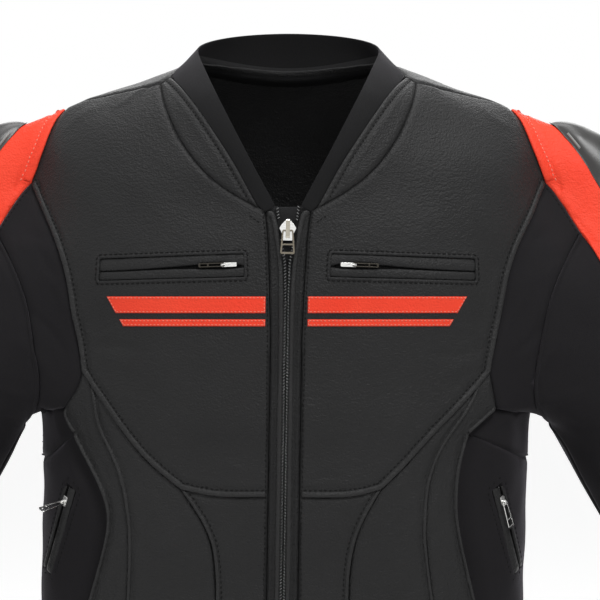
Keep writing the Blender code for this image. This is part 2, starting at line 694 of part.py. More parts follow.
BAND_LINE = (
    # seam between collar leather and neck band: x, z, height above the body, in mm
    (25.0, -97.5, 0),
    (46.0, -60.0, 4),
    (66.0, -30.5, 6),
    (84.5, -3.5, 5),
    (101.0, 15.5, 0),
)
BAND_EDGE = (
    # free edge of the neck band: 0 at the zip, 1 at the shoulder and 2 at the centre back; x, y, z in mm
    (0.00, 10.5, -112.0, -96.5),
    (0.35, 34.0, -106.0, -52.5),
    (0.65, 56.5, -86.0, -8.5),
    (0.85, 66.5, -60.0, 12.0),
    (1.00, 72.0, -38.0, 24.5),
    (1.20, 78.0, -4.0, 38.0),
    (1.35, 78.5, 20.0, 45.0),
    (1.60, 60.0, 49.0, 53.0),
    (1.80, 32.0, 65.0, 57.5),
    (2.00, 0.0, 70.0, 59.0),
)
COLLAR_BOW = 2.0 * MM       # how far the middle of the collar leather and band stands proud


def mirror_x(points):
    return [Vector((-point.x, point.y, point.z)) for point in points]


def strip(rows, flip=False):
    """Triangles between rows of points; the first row is the lower or outer one"""
    triangles = []
    for lower, upper in zip(rows, rows[1:]):
        for i in range(len(lower) - 1):
            quad = [lower[i], lower[i + 1], upper[i + 1], upper[i]]
            for corners in ((0, 1, 2), (0, 2, 3)):
                triangle = [quad[corner] for corner in corners]
                if all((triangle[k] - triangle[k - 1]).length > 0.1 * MM for k in range(3)):
                    triangles.append(triangle[::-1] if flip else triangle)
    return triangles


def middle_row(lower, upper):
    """Points halfway between two rows, bowed out away from the neck"""
    row = []
    for a, b in zip(lower, upper):
        middle = (a + b) / 2
        out = Vector((middle.x, middle.y, 0)).normalized()
        row.append(middle + out * COLLAR_BOW)
    return row


def band_line_point(share):
    rows, run = [], 0
    for i, (x, z, height) in enumerate(BAND_LINE):
        spot = body_spot(x, z)
        point = body(spot) + normal_at(body, spot) * height * MM
        if i:
            run += (point - rows[-1][1]).length
        rows.append((run, point))
    return Vector(read_table([(run_at, *point) for run_at, point in rows], share * run))


for side in (1, -1):
    flip = side < 0
    turned = other_side if flip else list
    neck_run = [body(spot) for spot in turned(neckline.spots())]
    steps = len(neck_run) - 1
    line_run = [band_line_point(i / steps) for i in range(steps + 1)]
    edge_run = [Vector(read_table(BAND_EDGE, i / steps)) * MM for i in range(steps + 1)]
    if flip:
        line_run, edge_run = mirror_x(line_run), mirror_x(edge_run)
    end_corners = [body(spot) for spot in turned(collar_end.spots(2))]
    line_run[0], line_run[-1] = neck_run[0], end_corners[-1]
    corner_spots = turned([body_spot(*corner) for corner in (PLACKET_TOP, PLACKET_INNER_TOP)])
    tip_corner, inner_corner = (body(spot) for spot in corner_spots)
    edge_run[0] = inner_corner
    middle = middle_row(neck_run, line_run)
    middle[0], middle[-1] = neck_run[0], end_corners[1]
    panels[mirrored_name("collar_leather", side)] = ([strip([neck_run, middle, line_run], flip)], LEATHER)
    middle = middle_row(line_run, edge_run)
    middle[0] = tip_corner
    band_front = [line_run, middle, edge_run]

    back_run = [body(spot) for spot in turned(neck_back.spots())]
    steps = len(back_run) - 1
    edge_back = [Vector(read_table(BAND_EDGE, 1 + i / steps)) * MM for i in range(steps + 1)]
    if flip:
        edge_back = mirror_x(edge_back)
    middle_back = middle_row(back_run, edge_back)
    middle_back[0] = middle[-1]
    band = strip(band_front, flip) + strip([back_run, middle_back, edge_back], flip)
    panels.setdefault("collar_band", ([[]], STRETCH))[0][0].extend(band)

    placket_edges = []
    for seam, edge in ((chest_front, placket_inner), (placket_low, placket_inner_low)):
        steps = len(seam.spots()) - 1
        placket_edges.append((seam.spots(steps), edge.spots(steps)))
    outer = placket_edges[0][0] + placket_edges[1][0][1:]
    inner = placket_edges[0][1] + placket_edges[1][1][1:]
    outer_run, inner_run = ([body(spot) for spot in turned(spots)] for spots in (outer, inner))
    panels[mirrored_name("placket", side)] = ([strip([outer_run, inner_run], not flip)], LEATHER)

ZIP_HEIGHTS = [body(spot).z / MM for spot in inner]
ZIP_EDGES = [abs(point.x - sway(point.z)) / MM for point in (body(spot) for spot in inner)]

# ---------------------------------------------------------------- from panels to walls

tree = KDTree(sum(3 * len(group) for groups, finish in panels.values() for group in groups))
corners = []
for groups, finish in panels.values():
    for group in groups:
        for triangle in group:
            for point in triangle:
                tree.insert(point, len(corners))
                corners.append(point)
tree.balance()

WELD = 0.02 * MM
skin_index = [None] * len(corners)
skin_points = []
for i, point in enumerate(corners):
    if skin_index[i] is None:
        for found, k, distance in tree.find_range(point, WELD):
            skin_index[k] = len(skin_points)
        skin_points.append(point)

skin = {}           # name: (groups of index triangles, finish)
part_normals = {}   # (skin index, part of the jacket): way out of the cloth
taken = 0


ARM_PANELS = ("shoulder_red", "shoulder_plate", "gusset", "sleeve_front", "sleeve_under", "sleeve_outer",
              "cuff")


def part_of(name):
    """The body, the sleeves and the collar meet at folds, so each has its own way out there"""
    if name[:-2] in ARM_PANELS:
        return "sleeve"
    return "collar" if name.startswith("collar") else "body"


for name, (groups, finish) in panels.items():
    indexed = []
    for group in groups:
        indexed.append([skin_index[taken + 3 * i: taken + 3 * i + 3] for i in range(len(group))])
        taken += 3 * len(group)
        for a, b, c in indexed[-1]:
            across = (skin_points[b] - skin_points[a]).cross(skin_points[c] - skin_points[a])
            for k in (a, b, c):
                part_normals.setdefault((k, part_of(name)), Vector())
                part_normals[k, part_of(name)] += across
    skin[name] = (indexed, finish)

SHARP_FOLD = math.cos(math.radians(60))
by_point = {}
for (k, part), normal in part_normals.items():
    by_point.setdefault(k, []).append((part, normal.normalized()))
for k, found in by_point.items():
    for part, normal in found:
        near = [other for _, other in found if other.dot(normal) > SHARP_FOLD]
        part_normals[k, part] = sum(near, Vector()).normalized()

FINISHES = {
    # base colour, roughness, metallic
    LEATHER: ((0.035, 0.035, 0.036, 1), 0.55, 0),
    STRETCH: ((0.012, 0.011, 0.013, 1), 0.85, 0),
    RED: ((1.0, 0.07, 0.03, 1), 0.5, 0),
    "cap": ((0.02, 0.02, 0.02, 1), 0.3, 0),
    "zip": ((0.01, 0.01, 0.01, 1), 0.6, 0),
    "metal": ((0.7, 0.7, 0.7, 1), 0.25, 1),
}


def finish_material(finish):
    if finish not in bpy.data.materials:
        colour, roughness, metallic = FINISHES[finish]
        material = bpy.data.materials.new(finish)
        material.use_nodes = True
        shader = material.node_tree.nodes["Principled BSDF"]
        shader.inputs["Base Color"].default_value = colour
        shader.inputs["Roughness"].default_value = roughness
        shader.inputs["Metallic"].default_value = metallic
    return bpy.data.materials[finish]


def add_object(name, bm, finish, frame=Matrix()):
    mesh = bpy.data.meshes.new(name)
    bm.to_mesh(mesh)
    bm.free()
    mesh.shade_smooth()
    mesh.set_sharp_from_angle(angle=math.radians(40))
    mesh.materials.append(finish_material(finish))
    made = bpy.data.objects.new(name, mesh)
    made.matrix_world = frame
    bpy.context.scene.collection.objects.link(made)
    return made


def wall(name, triangles, top, bottom, finish):
    """A closed wall over skin triangles, between two heights above the skin, inset along its edges"""
    part = part_of(name)
    inset = {}
    edges = {(t[k], t[(k + 1) % 3]) for t in triangles for k in range(3)}
    rim = [(a, b) for a, b in edges if (b, a) not in edges]
    for a, b in rim:
        along = (skin_points[b] - skin_points[a]).normalized()
        for k in (a, b):
            inset.setdefault(k, []).append(part_normals[k, part].cross(along).normalized())
    bm = bmesh.new()
    layers = []
    for height in (top, bottom):
        layer = {}
        for k in {k for t in triangles for k in t}:
            point = skin_points[k] + part_normals[k, part] * height
            if k in inset:
                first, second = inset[k][0], inset[k][-1]
                point += (first + second) / max(0.4, 1 + first.dot(second)) * GAP / 2
            layer[k] = bm.verts.new(point)
        layers.append(layer)
    upper, lower = layers
    for t in triangles:
        bm.faces.new([upper[k] for k in t])
        bm.faces.new([lower[k] for k in reversed(t)])
    for a, b in rim:
        # both panels of a seam split their edge walls along the same diagonal
        if a < b:
            bm.faces.new((upper[b], upper[a], lower[b]))
            bm.faces.new((upper[a], lower[a], lower[b]))
        else:
            bm.faces.new((upper[b], upper[a], lower[a]))
            bm.faces.new((upper[b], lower[a], lower[b]))
    return add_object(name, bm, finish)


LAYERED = ("chest", "side", "shoulder_red")
for name, (groups, finish) in skin.items():
    base = name[:-2]
    if base == "placket":
        wall(name, groups[0], 0.8 * MM, -2.2 * MM, finish)
    elif base not in LAYERED:
        wall(name, groups[0], 0, -STRETCH_CLOTH if finish == STRETCH else -CLOTH, finish)
for suffix in ("_l", "_r"):
    chest, side_panel, red = (skin[name + suffix][0] for name in LAYERED)
    under_cloth = -CLOTH - GAP
    wall("chest" + suffix, chest[0] + chest[3] + chest[4], 0, -CLOTH, LEATHER)
    wall("chest_pocket_welt" + suffix, chest[1], WELT_PROUD, -CLOTH, LEATHER)
    wall("chest_pocket_zip" + suffix, chest[1] + chest[2], under_cloth, under_cloth - MM, "zip")
    wall("stripe_upper" + suffix, chest[3], GAP + STRIPE, GAP, RED)
    wall("stripe_lower" + suffix, chest[4], GAP + STRIPE, GAP, RED)
    wall("side" + suffix, side_panel[0], 0, -STRETCH_CLOTH, STRETCH)
    wall("hand_pocket_welt" + suffix, side_panel[1], WELT_PROUD, -CLOTH, LEATHER)
    wall("hand_pocket_zip" + suffix, side_panel[1] + side_panel[2], under_cloth, under_cloth - MM, "zip")
    wall("shoulder_red" + suffix, red[0] + red[1], 0, -CLOTH, RED)
    wall("shoulder_plate" + suffix, red[1], GAP + PLATE, GAP, "cap")

# ---------------------------------------------------------------- zips

def trim_point(x, z, lift):
    """A point at x from the zip's line and z, raised above the body's skin, all in mm"""
    spot = body_spot(x, z)
    return body(spot) + normal_at(body, spot) * lift * MM


def trim_frame(x, z, lift, towards):
    """A frame over the body: Z out of the cloth and Y along a direction (x, z) on it"""
    origin = trim_point(x, z, lift)
    out = normal_at(body, body_spot(x, z))
    ahead = trim_point(x + towards[0], z + towards[1], lift) - origin
    across = ahead.cross(out).normalized()
    ahead = out.cross(across)
    return Matrix.Translation(origin) @ Matrix((across, ahead, out)).transposed().to_4x4()


COIL_TOP = -0.4         # heights above the skin, in mm
TAPE_TOP = -2.5
TAPE_BOTTOM = -3.2
TAPE_EDGE = 12.0
COIL_WIDTH = 2.2
COIL_CLEAR = 0.3
GUARD_TOP = -3.6
GUARD_BOTTOM = -4.8
GUARD_WIDTH = 15.0
GUARD_END = HEM_Z / MM + 2


def sweep(name, rows, finish):
    """A closed bar through rows of points, each row one cross-section"""
    bm = bmesh.new()
    rings = [[bm.verts.new(point) for point in row] for row in rows]
    bm.faces.new(rings[0])
    bm.faces.new(rings[-1][::-1])
    for ring, following in zip(rings, rings[1:]):
        for i in range(len(ring)):
            k = (i + 1) % len(ring)
            bm.faces.new((ring[i], following[i], following[k], ring[k]))
    bmesh.ops.recalc_face_normals(bm, faces=bm.faces)
    return add_object(name, bm, finish)


for side in (1, -1):
    rows = []
    for z, edge in zip(ZIP_HEIGHTS, ZIP_EDGES):
        coil_outer = edge - COIL_CLEAR
        coil_inner = max(COIL_CLEAR, coil_outer - COIL_WIDTH)
        section = ((coil_inner, COIL_TOP), (coil_outer, COIL_TOP), (coil_outer, TAPE_TOP),
                   (TAPE_EDGE, TAPE_TOP), (TAPE_EDGE, TAPE_BOTTOM), (coil_inner, TAPE_BOTTOM))
        rows.append([trim_point(side * x, z, lift) for x, lift in section])
    sweep(mirrored_name("zip_tape", side), rows, "zip")
guard_section = ((-GUARD_WIDTH, GUARD_TOP), (0, GUARD_TOP), (GUARD_WIDTH, GUARD_TOP),
                 (GUARD_WIDTH, GUARD_BOTTOM), (0, GUARD_BOTTOM), (-GUARD_WIDTH, GUARD_BOTTOM))
guard_heights = [z for z in ZIP_HEIGHTS if z > GUARD_END] + [GUARD_END]
sweep("zip_guard", [[trim_point(x, z, lift) for x, lift in guard_section] for z in guard_heights], "zip")


# ---------------------------------------------------------------- sliders and pulls
# Each has a frame with its origin on the pull's hinge: X along the hinge, Y along the pull and Z out.

def prism(bm, outline, low, high, upright=False):
    """A closed bar over an outline in mm; upright outlines are (y, z) and the bar runs along x"""
    rings = []
    for level in (low, high):
        points = [(level, a, b) if upright else (a, b, level) for a, b in outline]
        rings.append([bm.verts.new(Vector(point) * MM) for point in points])
    bm.faces.new(rings[0])
    bm.faces.new(rings[1])
    for i in range(len(outline)):
        k = (i + 1) % len(outline)
        bm.faces.new((rings[0][i], rings[0][k], rings[1][k], rings[1][i]))
    bmesh.ops.recalc_face_normals(bm, faces=bm.faces)


def with_tool(made, operation, name, bm, frame):
    """Joins or cuts an object with a second closed shape, which is only a tool"""
    tool = add_object(name, bm, "metal", frame)
    tool.hide_render = True
    tool.display_type = "WIRE"
    modifier = made.modifiers.new(operation.lower(), "BOOLEAN")
    modifier.operation = operation
    modifier.object = tool


HINGE_BAR = 1.1         # square bar of a pull, which turns inside the slider's arch
HINGE_ROOM = 1.0        # from the hinge to the arch and to the slider's plate
ARCH_WALL = 0.8


def slider(name, frame, outline, plate_bottom, arch_width, arch_start, arch_room, arch_end):
    """A zip's slider: a plate over the zip with an arch on it, which holds the pull"""
    plate = bmesh.new()
    prism(plate, outline + [(-x, y) for x, y in reversed(outline)], plate_bottom, -HINGE_ROOM)
    made = add_object(name, plate, "metal", frame)
    top = HINGE_ROOM + ARCH_WALL
    foot = -HINGE_ROOM - 0.4
    outer_side = [(arch_start, foot), (arch_start, HINGE_ROOM), (arch_start + ARCH_WALL, top),
                  (arch_end - ARCH_WALL, top), (arch_end, HINGE_ROOM), (arch_end, foot)]
    room = [(arch_room, foot), (arch_room, HINGE_ROOM), (-HINGE_ROOM, HINGE_ROOM), (-HINGE_ROOM, foot)]
    arch = bmesh.new()
    prism(arch, outer_side + room, -arch_width / 2, arch_width / 2, upright=True)
    with_tool(made, "UNION", name + ".arch", arch, frame)


def pull(name, frame, width_start, width_end, rail, bars):
    """A zip's pull: an open frame between two rails, with a bar for each (start, end) along it"""
    length = bars[-1][1]

    def half_width(y):
        return (width_start + (width_end - width_start) * y / length) / 2

    start = bars[0][0]
    round_off = rail * 0.8
    outline = [(half_width(0) - round_off, start), (half_width(0), start + round_off),
               (half_width(length), length - round_off), (half_width(length) - round_off, length)]
    plate = bmesh.new()
    prism(plate, outline + [(-x, y) for x, y in reversed(outline)], -HINGE_BAR / 2, HINGE_BAR / 2)
    made = add_object(name, plate, "metal", frame)
    windows = bmesh.new()
    for (_, low), (high, _) in zip(bars, bars[1:]):
        near, far = half_width(low) - rail, half_width(high) - rail
        prism(windows, ((near, low), (far, high), (-far, high), (-near, low)), -HINGE_BAR, HINGE_BAR)
    with_tool(made, "DIFFERENCE", name + ".windows", windows, frame)


FRONT_HINGE_Z = -117.5
FRONT_HINGE_LIFT = 2.75
FRONT_PLATE_BOTTOM = -0.1       # height above the skin
FRONT_SLIDER = [(2.6, -8.3), (5.4, -4.9), (7.0, -2.2), (5.2, 1.8), (4.0, 3.0), (4.0, 8.3)]
FRONT_ARCH = (3.5, -9.2, 4.6, 6.2)          # width, start, end of the room in it, end
FRONT_BARS = ((-0.55, 0.55), (11.3, 12.6), (18.3, 20.0))

front_frame = trim_frame(0, FRONT_HINGE_Z, FRONT_HINGE_LIFT, (0, -1))
slider("front_slider", front_frame, FRONT_SLIDER, FRONT_PLATE_BOTTOM - FRONT_HINGE_LIFT, *FRONT_ARCH)
pull("front_pull", front_frame, 9.5, 12.2, 1.3, FRONT_BARS)

CHEST_HINGE_X = {1: 55.0, -1: 52.8}         # from the zip's line
CHEST_HINGE_LIFT = 1.2
CHEST_PLATE_BOTTOM = -1.9
CHEST_SLIDER = [(1.3, -10.6), (1.75, -10.1), (1.75, 2.1), (1.3, 2.6)]
CHEST_ARCH = (1.2, -1.9, 1.0, 1.9)
CHEST_BARS = ((-0.55, 0.55), (12.6, 13.9), (19.6, 21.2))
HAND_HINGE_SHARE = 0.14                     # of the pocket's length, from its top
HAND_PLATE = 1.4
HAND_HINGE_LIFT = (WELT_PROUD + GAP) / MM + HAND_PLATE + HINGE_ROOM
HAND_SLIDER = [(1.8, -5.6), (2.6, -4.8), (2.6, 2.2), (1.9, 3.0)]
HAND_ARCH = (1.6, -1.9, 1.0, 1.9)
HAND_BARS = ((-0.55, 0.55), (14.6, 15.8), (21.4, 23.0))
HAND_PULL_TURN = {1: 0, -1: 75}             # degrees out of the cloth


def slit_line(slit, share):
    """The middle of a pocket's slit at a share of its length, and the way it runs, for +X"""
    low_start, low_end, high_end, high_start = (Vector(corner) for corner in slit)
    start, end = (low_start + high_start) / 2, (low_end + high_end) / 2
    return start.lerp(end, share), (end - start).normalized()


chest_start, chest_way = slit_line(CHEST_SLIT, 0)
hand_spot, hand_way = slit_line(HAND_SLIT, HAND_HINGE_SHARE)
for side in (1, -1):
    spot = chest_start + chest_way * ((CHEST_HINGE_X[side] - chest_start.x) / chest_way.x)
    frame = trim_frame(side * spot.x, spot.y, CHEST_HINGE_LIFT, (side * chest_way.x, chest_way.y))
    slider(mirrored_name("chest_pocket_slider", side), frame, CHEST_SLIDER,
           CHEST_PLATE_BOTTOM - CHEST_HINGE_LIFT, *CHEST_ARCH)
    pull(mirrored_name("chest_pocket_pull", side), frame, 3.3, 3.3, 0.75, CHEST_BARS)

    frame = trim_frame(side * hand_spot.x, hand_spot.y, HAND_HINGE_LIFT, (side * hand_way.x, hand_way.y))
    slider(mirrored_name("hand_pocket_slider", side), frame, HAND_SLIDER,
           -HINGE_ROOM - HAND_PLATE, *HAND_ARCH)
    turned_frame = frame @ Matrix.Rotation(math.radians(HAND_PULL_TURN[side]), 4, "X")
    pull(mirrored_name("hand_pocket_pull", side), turned_frame, 5.6, 7.2, 1.1, HAND_BARS)
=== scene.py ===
"""The looks of a leather sport jacket: sewn panels, zips, moulded shoulder caps and metal sliders."""
import json
import math

import bmesh
import bpy
import numpy as np
from mathutils import Matrix, Vector
from mathutils.bvhtree import BVHTree
from mathutils.kdtree import KDTree

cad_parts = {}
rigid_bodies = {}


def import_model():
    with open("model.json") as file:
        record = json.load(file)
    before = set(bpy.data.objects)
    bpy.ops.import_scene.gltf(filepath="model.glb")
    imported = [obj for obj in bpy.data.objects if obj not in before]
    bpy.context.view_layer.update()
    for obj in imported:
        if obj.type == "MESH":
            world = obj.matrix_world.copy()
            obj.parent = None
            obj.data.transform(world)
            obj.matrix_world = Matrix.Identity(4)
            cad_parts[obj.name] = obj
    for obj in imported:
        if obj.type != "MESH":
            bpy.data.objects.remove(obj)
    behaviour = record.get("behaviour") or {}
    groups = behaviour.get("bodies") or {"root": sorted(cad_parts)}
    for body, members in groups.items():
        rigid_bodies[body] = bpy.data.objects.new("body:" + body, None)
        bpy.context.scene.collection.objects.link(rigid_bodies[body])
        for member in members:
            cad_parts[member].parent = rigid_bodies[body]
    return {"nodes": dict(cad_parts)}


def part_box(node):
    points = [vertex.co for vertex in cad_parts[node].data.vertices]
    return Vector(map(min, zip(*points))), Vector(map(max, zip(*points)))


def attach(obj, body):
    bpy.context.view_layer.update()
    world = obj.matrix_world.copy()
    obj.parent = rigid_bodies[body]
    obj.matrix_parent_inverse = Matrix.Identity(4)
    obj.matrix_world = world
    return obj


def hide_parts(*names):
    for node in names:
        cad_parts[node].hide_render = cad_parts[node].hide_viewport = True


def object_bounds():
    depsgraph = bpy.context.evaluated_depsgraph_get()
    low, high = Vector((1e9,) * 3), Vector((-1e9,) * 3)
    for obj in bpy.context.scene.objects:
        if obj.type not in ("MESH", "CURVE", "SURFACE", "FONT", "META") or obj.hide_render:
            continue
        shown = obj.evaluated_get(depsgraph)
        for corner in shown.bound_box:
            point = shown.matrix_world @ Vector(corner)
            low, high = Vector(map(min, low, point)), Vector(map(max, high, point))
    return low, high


for old in list(bpy.data.objects):
    bpy.data.objects.remove(old)
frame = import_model()
cad_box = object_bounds()
MM = 0.001
SIDES = ((1, "_l"), (-1, "_r"))     # the wearer's left is +x

# ---------------------------------------------------------------- the sewn shell
# Leather and stretch panels sewn edge to edge. Each is cut from one piece, and all of them are joined
# here first and smoothed as one cloth, so that they run on into each other over the seams.

PANELS = {
    # panel: slot, flat width and length of its cut in metres, share of that which is cloth, finely meshed
    "chest": ("black_leather", 0.225, 0.345, 0.73, True),
    "lower_front": ("black_leather", 0.070, 0.270, 0.74, True),
    "side_front": ("black_leather", 0.095, 0.365, 0.63, True),
    "flank": ("black_leather", 0.060, 0.360, 0.64, True),
    "placket": ("black_leather", 0.022, 0.545, 0.80, True),
    "collar_leather": ("black_leather", 0.035, 0.165, 0.77, True),
    "underarm": ("stretch_cloth", 0.085, 0.080, 0.62, False),
    "side": ("stretch_cloth", 0.170, 0.370, 0.83, False),
    "accordion": ("black_leather", 0.080, 0.150, 0.85, False),
    "shoulder_red": ("red_leather", 0.205, 0.245, 0.60, True),
    "gusset": ("stretch_cloth", 0.050, 0.500, 0.70, True),
    "sleeve_front": ("stretch_cloth", 0.125, 0.520, 0.70, True),
    "sleeve_under": ("stretch_cloth", 0.100, 0.400, 0.72, False),
    "sleeve_outer": ("black_leather", 0.235, 0.600, 0.78, False),
    "cuff": ("black_leather", 0.026, 0.280, 0.97, False),
    "back_yoke": ("black_leather", 0.460, 0.220, 0.82, False),
    "back_centre": ("black_leather", 0.430, 0.520, 0.82, False),
}
WALL = 3.5 * MM             # edges across a wall are shorter than this, all others longer
SEAM_GAP = 1.0 * MM         # panels that meet at a seam stand no further apart
SAME_POINT = 0.01 * MM      # points that are closer than this are one
# points inside the sleeve, the cuff, and so on, that their outer faces look away from
CENTRES = {"sleeve": (0.335, -0.02, -0.42), "cuff": (0.4135, -0.08, -0.615),
           "shoulder_red": (0.20, 0.0, -0.20), "gusset": (0.20, 0.0, -0.19)}
BODY_CENTRE, PLACKET_CENTRE = (0.0, 0.0, -0.30), (0.0, -0.3)      # a placket looks straight forwards


def bmesh_of(mesh):
    bm = bmesh.new()
    bm.from_mesh(mesh)
    return bm


def merged_copy(node):
    """A node's mesh with its loose triangles joined into one surface"""
    bm = bmesh_of(frame["nodes"][node].data)
    bmesh.ops.remove_doubles(bm, verts=bm.verts, dist=SAME_POINT)
    return bm


def stored(bm, mesh=None):
    """Writes a finished bmesh into a mesh, a new one unless it is given"""
    if mesh is None:
        mesh = bpy.data.meshes.new("mesh")
    bm.to_mesh(mesh)
    bm.free()
    return mesh


def outer_skin(node, centre):
    """The outer face of a node's wall, which looks away from the centre line of what it goes round"""
    skin = merged_copy(node)
    rim = [f for f in skin.faces if min(e.calc_length() for e in f.edges) < WALL]
    bmesh.ops.delete(skin, geom=rim, context="FACES")
    left = set(skin.faces)
    inner = []
    while left:
        island, edge_of = set(), [left.pop()]
        while edge_of:
            face = edge_of.pop()
            island.add(face)
            for edge in face.edges:
                for other in edge.link_faces:
                    if other in left:
                        left.remove(other)
                        edge_of.append(other)
        outwards = sum(f.normal.dot(f.calc_center_median() - centre) * f.calc_area() for f in island)
        if outwards < 0:
            inner += island
    bmesh.ops.delete(skin, geom=inner, context="FACES")
    return skin


def centre_of(panel, side):
    for part, (x, y, z) in CENTRES.items():
        if panel.startswith(part):
            return Vector((x * side, y, z))
    return Vector(BODY_CENTRE)


shell = bmesh.new()
panel_names = []
for panel in PANELS:
    for side, suffix in (((0, ""),) if panel.startswith("back") else SIDES):
        node = panel + suffix
        if panel == "placket":
            centre = Vector((frame["nodes"][node].data.vertices[0].co.x, *PLACKET_CENTRE))
        else:
            centre = centre_of(panel, side)
        pieces = [node]
        if panel == "chest":
            pieces.append(node.replace("chest", "chest_pocket_welt"))
        if panel == "side":
            pieces.append(node.replace("side", "hand_pocket_welt"))
        for piece in pieces:
            skin = outer_skin(piece, centre)
            for face in skin.faces:
                face.material_index = len(panel_names)
            scratch = stored(skin)
            shell.from_mesh(scratch)
            bpy.data.meshes.remove(scratch)
        panel_names.append(node)
bmesh.ops.remove_doubles(shell, verts=shell.verts, dist=SEAM_GAP)

# the pocket slits are closed here, because each panel's window is sunk later and the pockets' own pieces lie
# in it
mouths = [e for e in shell.edges
          if e.is_boundary and "cuff" not in panel_names[e.link_faces[0].material_index]]
LONGEST_SLIT = 15           # edges round a slit; the neck, front and hem together have far more
for face in bmesh.ops.holes_fill(shell, edges=mouths, sides=LONGEST_SLIT)["faces"]:
    face.material_index = face.edges[0].link_loops[0].link_loop_radial_next.face.material_index
bmesh.ops.triangulate(shell, faces=[f for f in shell.faces if len(f.verts) > 4])
bmesh.ops.join_triangles(shell, faces=shell.faces, cmp_materials=True,
                         angle_face_threshold=math.radians(50), angle_shape_threshold=math.radians(60))
bmesh.ops.recalc_face_normals(shell, faces=shell.faces)


def read(items, name, width=1, kind=float):
    """One value, or one row of values, for each item of a mesh"""
    values = np.empty(len(items) * width, dtype=kind)
    items.foreach_get(name, values)
    return values.reshape(-1, width) if width > 1 else values


def points_of(mesh):
    return read(mesh.vertices, "co", 3)


def face_slots(mesh):
    return read(mesh.polygons, "material_index", kind=int)


def seam_edges(mesh):
    """Which edges lie between two panels, and which have only one face"""
    of_loop = read(mesh.loops, "edge_index", kind=int)
    panel = np.repeat(face_slots(mesh), read(mesh.polygons, "loop_total", kind=int))
    uses = np.bincount(of_loop, minlength=len(mesh.edges))
    total = np.bincount(of_loop, panel, len(mesh.edges))
    squares = np.bincount(of_loop, panel**2, len(mesh.edges))
    return (uses == 2) & (2 * squares > total**2 + 0.5), uses == 1


def add_object(name, data):
    thing = bpy.data.objects.new(name, data)
    bpy.context.scene.collection.objects.link(thing)
    return thing


def evaluated(thing):
    """The thing's mesh as its modifiers leave it"""
    return bpy.data.meshes.new_from_object(thing.evaluated_get(bpy.context.evaluated_depsgraph_get()))


def add_subdivision(thing, levels, boundary="ALL"):
    subdivide = thing.modifiers.new("Subdivision", "SUBSURF")
    subdivide.levels = subdivide.render_levels = levels
    subdivide.boundary_smooth = boundary


def subdivided(mesh, levels, keep_creases=False):
    """The mesh after that many levels of subdivision. Its seams stay smooth curves of their own."""
    seams, _ = seam_edges(mesh)
    crease = mesh.attributes.get("crease_edge") or mesh.attributes.new("crease_edge", "FLOAT", "EDGE")
    if not keep_creases:
        crease.data.foreach_set("value", seams.astype(np.float32))
    holder = add_object("holder", mesh)
    add_subdivision(holder, levels)
    finer = evaluated(holder)
    bpy.data.objects.remove(holder)
    return finer


def place_points(mesh, points):
    mesh.vertices.foreach_set("co", points.ravel())
    mesh.update()


SMOOTHING = (0.6, -0.62)        # shares of the way to and away from the neighbours' mean
SMOOTHING_ROUNDS = 16


def relax(mesh):
    """Takes out the dents left by the coarse cut, by moving points in and out along their normals"""
    points, ends = points_of(mesh), read(mesh.edges, "vertices", 2, int)
    _, is_open = seam_edges(mesh)
    on_edge = np.zeros(len(points), dtype=bool)
    on_edge[ends[is_open]] = True
    pairs = np.vstack((ends, ends[:, ::-1]))
    along_edge = np.concatenate((is_open, is_open))
    pairs = pairs[~on_edge[pairs[:, 0]] | along_edge]
    count = np.bincount(pairs[:, 0], minlength=len(points))[:, None]
    for _ in range(SMOOTHING_ROUNDS):
        normals = read(mesh.vertex_normals, "vector", 3)
        for share in SMOOTHING:
            total = np.stack([np.bincount(pairs[:, 0], points[pairs[:, 1], k], len(points))
                              for k in range(3)], 1)
            way = total / count - points
            points = points + normals * (way * normals).sum(1, keepdims=True) * share
        place_points(mesh, points)


smooth = stored(shell)
for _ in range(2):
    smooth = subdivided(smooth, 1)
    relax(smooth)
smooth = subdivided(smooth, 1)

# On the wearer's right the flank is pulled round further over the side than on the left, all in mm. The
# first table is for the flank's edge, the second for the ridge beside it: at each z, the x and the pull.
EDGE_Z = (-253, -267, -285, -306, -325, -346, -362)
EDGE_X, EDGE_PULL = (-172, -177, -155, -149, -147, -148, -150), (0, 13, 26, 22, 12, 3, 0)
RIDGE_Z = (-247, -262, -283, -300, -317, -358, -430, -480)
RIDGE_X, RIDGE_PULL = (-160, -153, -140, -131, -126, -122, -126, -130), (0, 3, 10, 15, 15, 12, 5, 0)
PULL_FROM = -208            # x where the pull begins
PULL_REACH = 60             # from the ridge inwards, where it ends
PULL_BLEND = (-10, -5, 0, 5, 10)    # up and down, over which the tables are averaged
PULL_TOP, PULL_BOTTOM = -0.24, -0.48    # z in metres
PULL_LEAST, PULL_JUMP = 0.05, 50        # shorter pulls and longer jumps are left out
EDGE_GAP = 4                # the ridge stays this far from the edge


def eased(z, heights, values):
    """Values between those given at some heights, averaged a little up and down"""
    return sum(np.interp(z + up, heights[::-1], values[::-1]) for up in PULL_BLEND) / len(PULL_BLEND)


def tree_of(mesh):
    return BVHTree.FromPolygons([v.co for v in mesh.vertices], [tuple(f.vertices) for f in mesh.polygons])


points = points_of(smooth)
front_tree = tree_of(smooth)
pulled = ((points[:, 0] < 0) & (points[:, 1] < 0)
          & (points[:, 2] > PULL_BOTTOM) & (points[:, 2] < PULL_TOP))
for k in np.flatnonzero(pulled):
    x, y, z = points[k] / MM
    edge, ridge = eased(z, EDGE_Z, EDGE_X), eased(z, RIDGE_Z, RIDGE_X)
    pull = np.interp(x, (PULL_FROM, edge, max(ridge, edge + EDGE_GAP), ridge + PULL_REACH),
                     (0, eased(z, EDGE_Z, EDGE_PULL), eased(z, RIDGE_Z, RIDGE_PULL), 0))
    hit, _, _, _ = front_tree.ray_cast(Vector(((x - pull) * MM, -1, z * MM)), Vector((0, 1, 0)))
    if pull > PULL_LEAST and hit and abs(hit.y - y * MM) < PULL_JUMP * MM:
        points[k] = hit
place_points(smooth, points)


